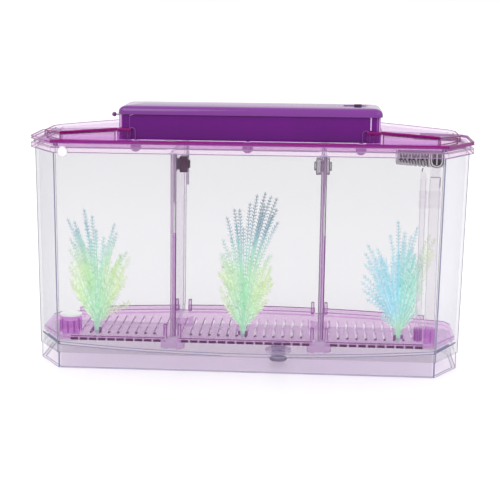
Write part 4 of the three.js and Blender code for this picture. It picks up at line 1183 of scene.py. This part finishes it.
def cage_marks():
    """Dark gaps between the cage's ribs, in two rows, and the nose's two bars inside their rings."""
    boxes, rods = [], []
    for i in range(CAGE_GAPS):
        x = CAGE_TIP + 0.9 + i * CAGE_PITCH
        foot = (x, CAGE_Y - 0.15, GAP_ROW_BOTTOM)
        boxes.append((foot, (x + GAP_WIDTH, CAGE_Y + 0.15, CAGE_TOP - 0.3), "cage_dark"))
        low = (x + 0.7, CAGE_Y + 0.4, cage_low(x) + 0.3)
        rods.append(((x - 0.3, CAGE_Y, LOW_ROW_TOP), low, 0.36, "cage_dark"))
    for hand in (-1, 1):
        x = NOSE_X + hand * NOSE_BAR_X
        foot = (x - NOSE_BAR_HALF, NOSE_Y - 0.12, NOSE_BAR_BOTTOM)
        boxes.append((foot, (x + NOSE_BAR_HALF, NOSE_Y + 0.12, CAGE_TOP), "nose_dark"))
    front = NOSE_Y - 0.2
    rods.append(((NOSE_X, front, NOSE_BAR_BOTTOM), (NOSE_X, front, CAGE_TOP), 0.26, "cage_pale"))
    for half, bottom, radius, key in NOSE_RINGS:
        outline = bow(half, CAGE_TOP, bottom, 2.6, 0.8, 0.7)
        rods += chain([(NOSE_X + x, NOSE_Y, z) for x, z in outline], radius, key)
    return boxes, rods


def cage_edge(middle, first, second, along):
    return "grey" if first.z + second.z < -0.2 and middle.y < TUBE_Y else None


cage_boxes, cage_rods = cage_marks()
dressed(
    "outlet_cage", ("cage_rib", "grey_line", "cage_dark", "cage_pale", "nose_dark"), "outlet",
    cage_edge, least=1.2, extra=cage_rods, boxes=cage_boxes, slot="grey_clear",
)


# Drain
def drain_edge(middle, first, second, along):
    return "drain"


dressed("drain_seal", ("seal_grey",), "tank", slot="dark_rubber")
dressed("plug_ring", ("ring_grey",), "drain_plug", slot="dark_rubber")
for name, body in (("drain_bush", "tank"), ("drain_nut", "tank"), ("drain_plug", "drain_plug")):
    dressed(name, ("grey_clear", "drain_line"), body, drain_edge, least=0.4)

# Tubes and sleeves
TUBES = (
    "uplift_lower", "uplift_upper", "airline_lower", "airline_upper", "uplift_sleeve", "airline_sleeve",
)
TUBE_LINES_TOP = 118
TUBE_LINE_TURN = 0.15
HOOK_X = 103.5
HOOK_Y = TUBE_Y - 1.6
JOINT_Y = TUBE_Y - 2.6
JOINT_TOP = 119.3


def tube_lines(x, radius, low, high, key):
    """The sides of a clear tube seen as upright lines."""
    rods = []
    for turn in (TUBE_LINE_TURN, math.pi - TUBE_LINE_TURN):
        place = (x + radius * math.cos(turn), TUBE_Y - radius * math.sin(turn))
        rods.append(((*place, low), (*place, high), 0.2, key))
    return rods


def dress_tube(name):
    low, high = (Vector(corner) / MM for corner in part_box(name))
    milky = name.endswith("sleeve")
    slots = ("sleeve_milky", "sleeve_line") if milky else ("tube_clear", "tube_line", "grey_line")
    top = min(high.z - 0.2, TUBE_LINES_TOP)
    rods = tube_lines((low.x + high.x) / 2, (high.x - low.x) / 2 - 0.3, low.z + 0.2, top, slots[1])
    if name == "airline_upper":
        hook = ((HOOK_X - 0.6, HOOK_Y, 124.6), (HOOK_X - 1.2, HOOK_Y, 122.4))
        rods += chain(hook, 0.3, "grey_line")
    if name == "uplift_upper":
        left = low.x + 0.2
        right = high.x - 0.2
        joint = ((left, JOINT_Y, JOINT_TOP), (right, JOINT_Y, JOINT_TOP), (right, JOINT_Y, JOINT_TOP - 6))
        rods += chain(joint, 0.24, "grey_line")
    dressed(name, slots, "tray", extra=rods)


for name in TUBES:
    dress_tube(name)

# The other CAD nodes stay and get their slot's material
for row in frame["record"]["subparts"]:
    if row["node"] not in DRESSED:
        kept = nodes[row["node"]].data.materials
        kept.clear()
        kept.append(MATS[row["material_slot"]])


# Stage: floor, world and lamps
FLOOR_HALF = 60
FLOOR_COLOUR = (0.93, 0.93, 0.935, 1)


def make_floor():
    mesh = bpy.data.meshes.new("floor")
    corners = [(x * FLOOR_HALF, y * FLOOR_HALF, 0) for x, y in ((-1, -1), (1, -1), (1, 1), (-1, 1))]
    mesh.from_pydata(corners, [], [(0, 1, 2, 3)])
    obj = new_object("floor", mesh)
    tree, out = fresh("floor_white")
    shader = node(tree, "ShaderNodeBsdfPrincipled", Roughness=0.28, IOR=1.4, Base_Color=FLOOR_COLOUR)
    glow = node(tree, "ShaderNodeEmission")
    path = node(tree, "ShaderNodeLightPath")
    share = math_node(tree, "MULTIPLY", path.outputs["Is Camera Ray"], 0.2)
    tree.links.new(share, glow.inputs["Strength"])
    both = node(tree, "ShaderNodeAddShader")
    tree.links.new(shader.outputs["BSDF"], both.inputs[0])
    tree.links.new(glow.outputs["Emission"], both.inputs[1])
    tree.links.new(both.outputs["Shader"], out.inputs["Surface"])
    mesh.materials.append(MATS["floor_white"])


def make_world():
    """Even light, and plain white to the camera, in mirror images and through glass."""
    world = bpy.data.worlds.new("world")
    bpy.context.scene.world = world
    world.use_nodes = True
    tree = world.node_tree
    tree.nodes.clear()
    out = tree.nodes.new("ShaderNodeOutputWorld")
    back = node(tree, "ShaderNodeBackground", Color=(1, 1, 1, 1))
    path = node(tree, "ShaderNodeLightPath")
    seen = math_node(tree, "ADD", path.outputs["Is Camera Ray"], path.outputs["Is Glossy Ray"])
    seen = math_node(tree, "ADD", seen, path.outputs["Is Transmission Ray"], clamp=True)
    tree.links.new(map_range(tree, seen, 0.95, 1.0), back.inputs["Strength"])
    tree.links.new(back.outputs["Background"], out.inputs["Surface"])


def make_lamp(name, place, size, watts):
    target = Vector((0, 0, 0.08))
    data = bpy.data.lights.new(name, "AREA")
    data.shape = "SQUARE"
    data.size = size
    data.energy = watts
    lamp = new_object(name, data)
    lamp.location = place
    lamp.rotation_euler = (target - Vector(place)).to_track_quat("-Z", "Y").to_euler()


make_floor()
make_world()
make_lamp("key", (-0.8, -1.2, 1.5), size=1.2, watts=8)
make_lamp("fill", (1.2, -0.9, 1.0), size=1.0, watts=3)

bpy.context.scene.view_settings.view_transform = "Standard"
# Sight passes through every layer of clear plastic
bpy.context.scene.cycles.transparent_max_bounces = 64
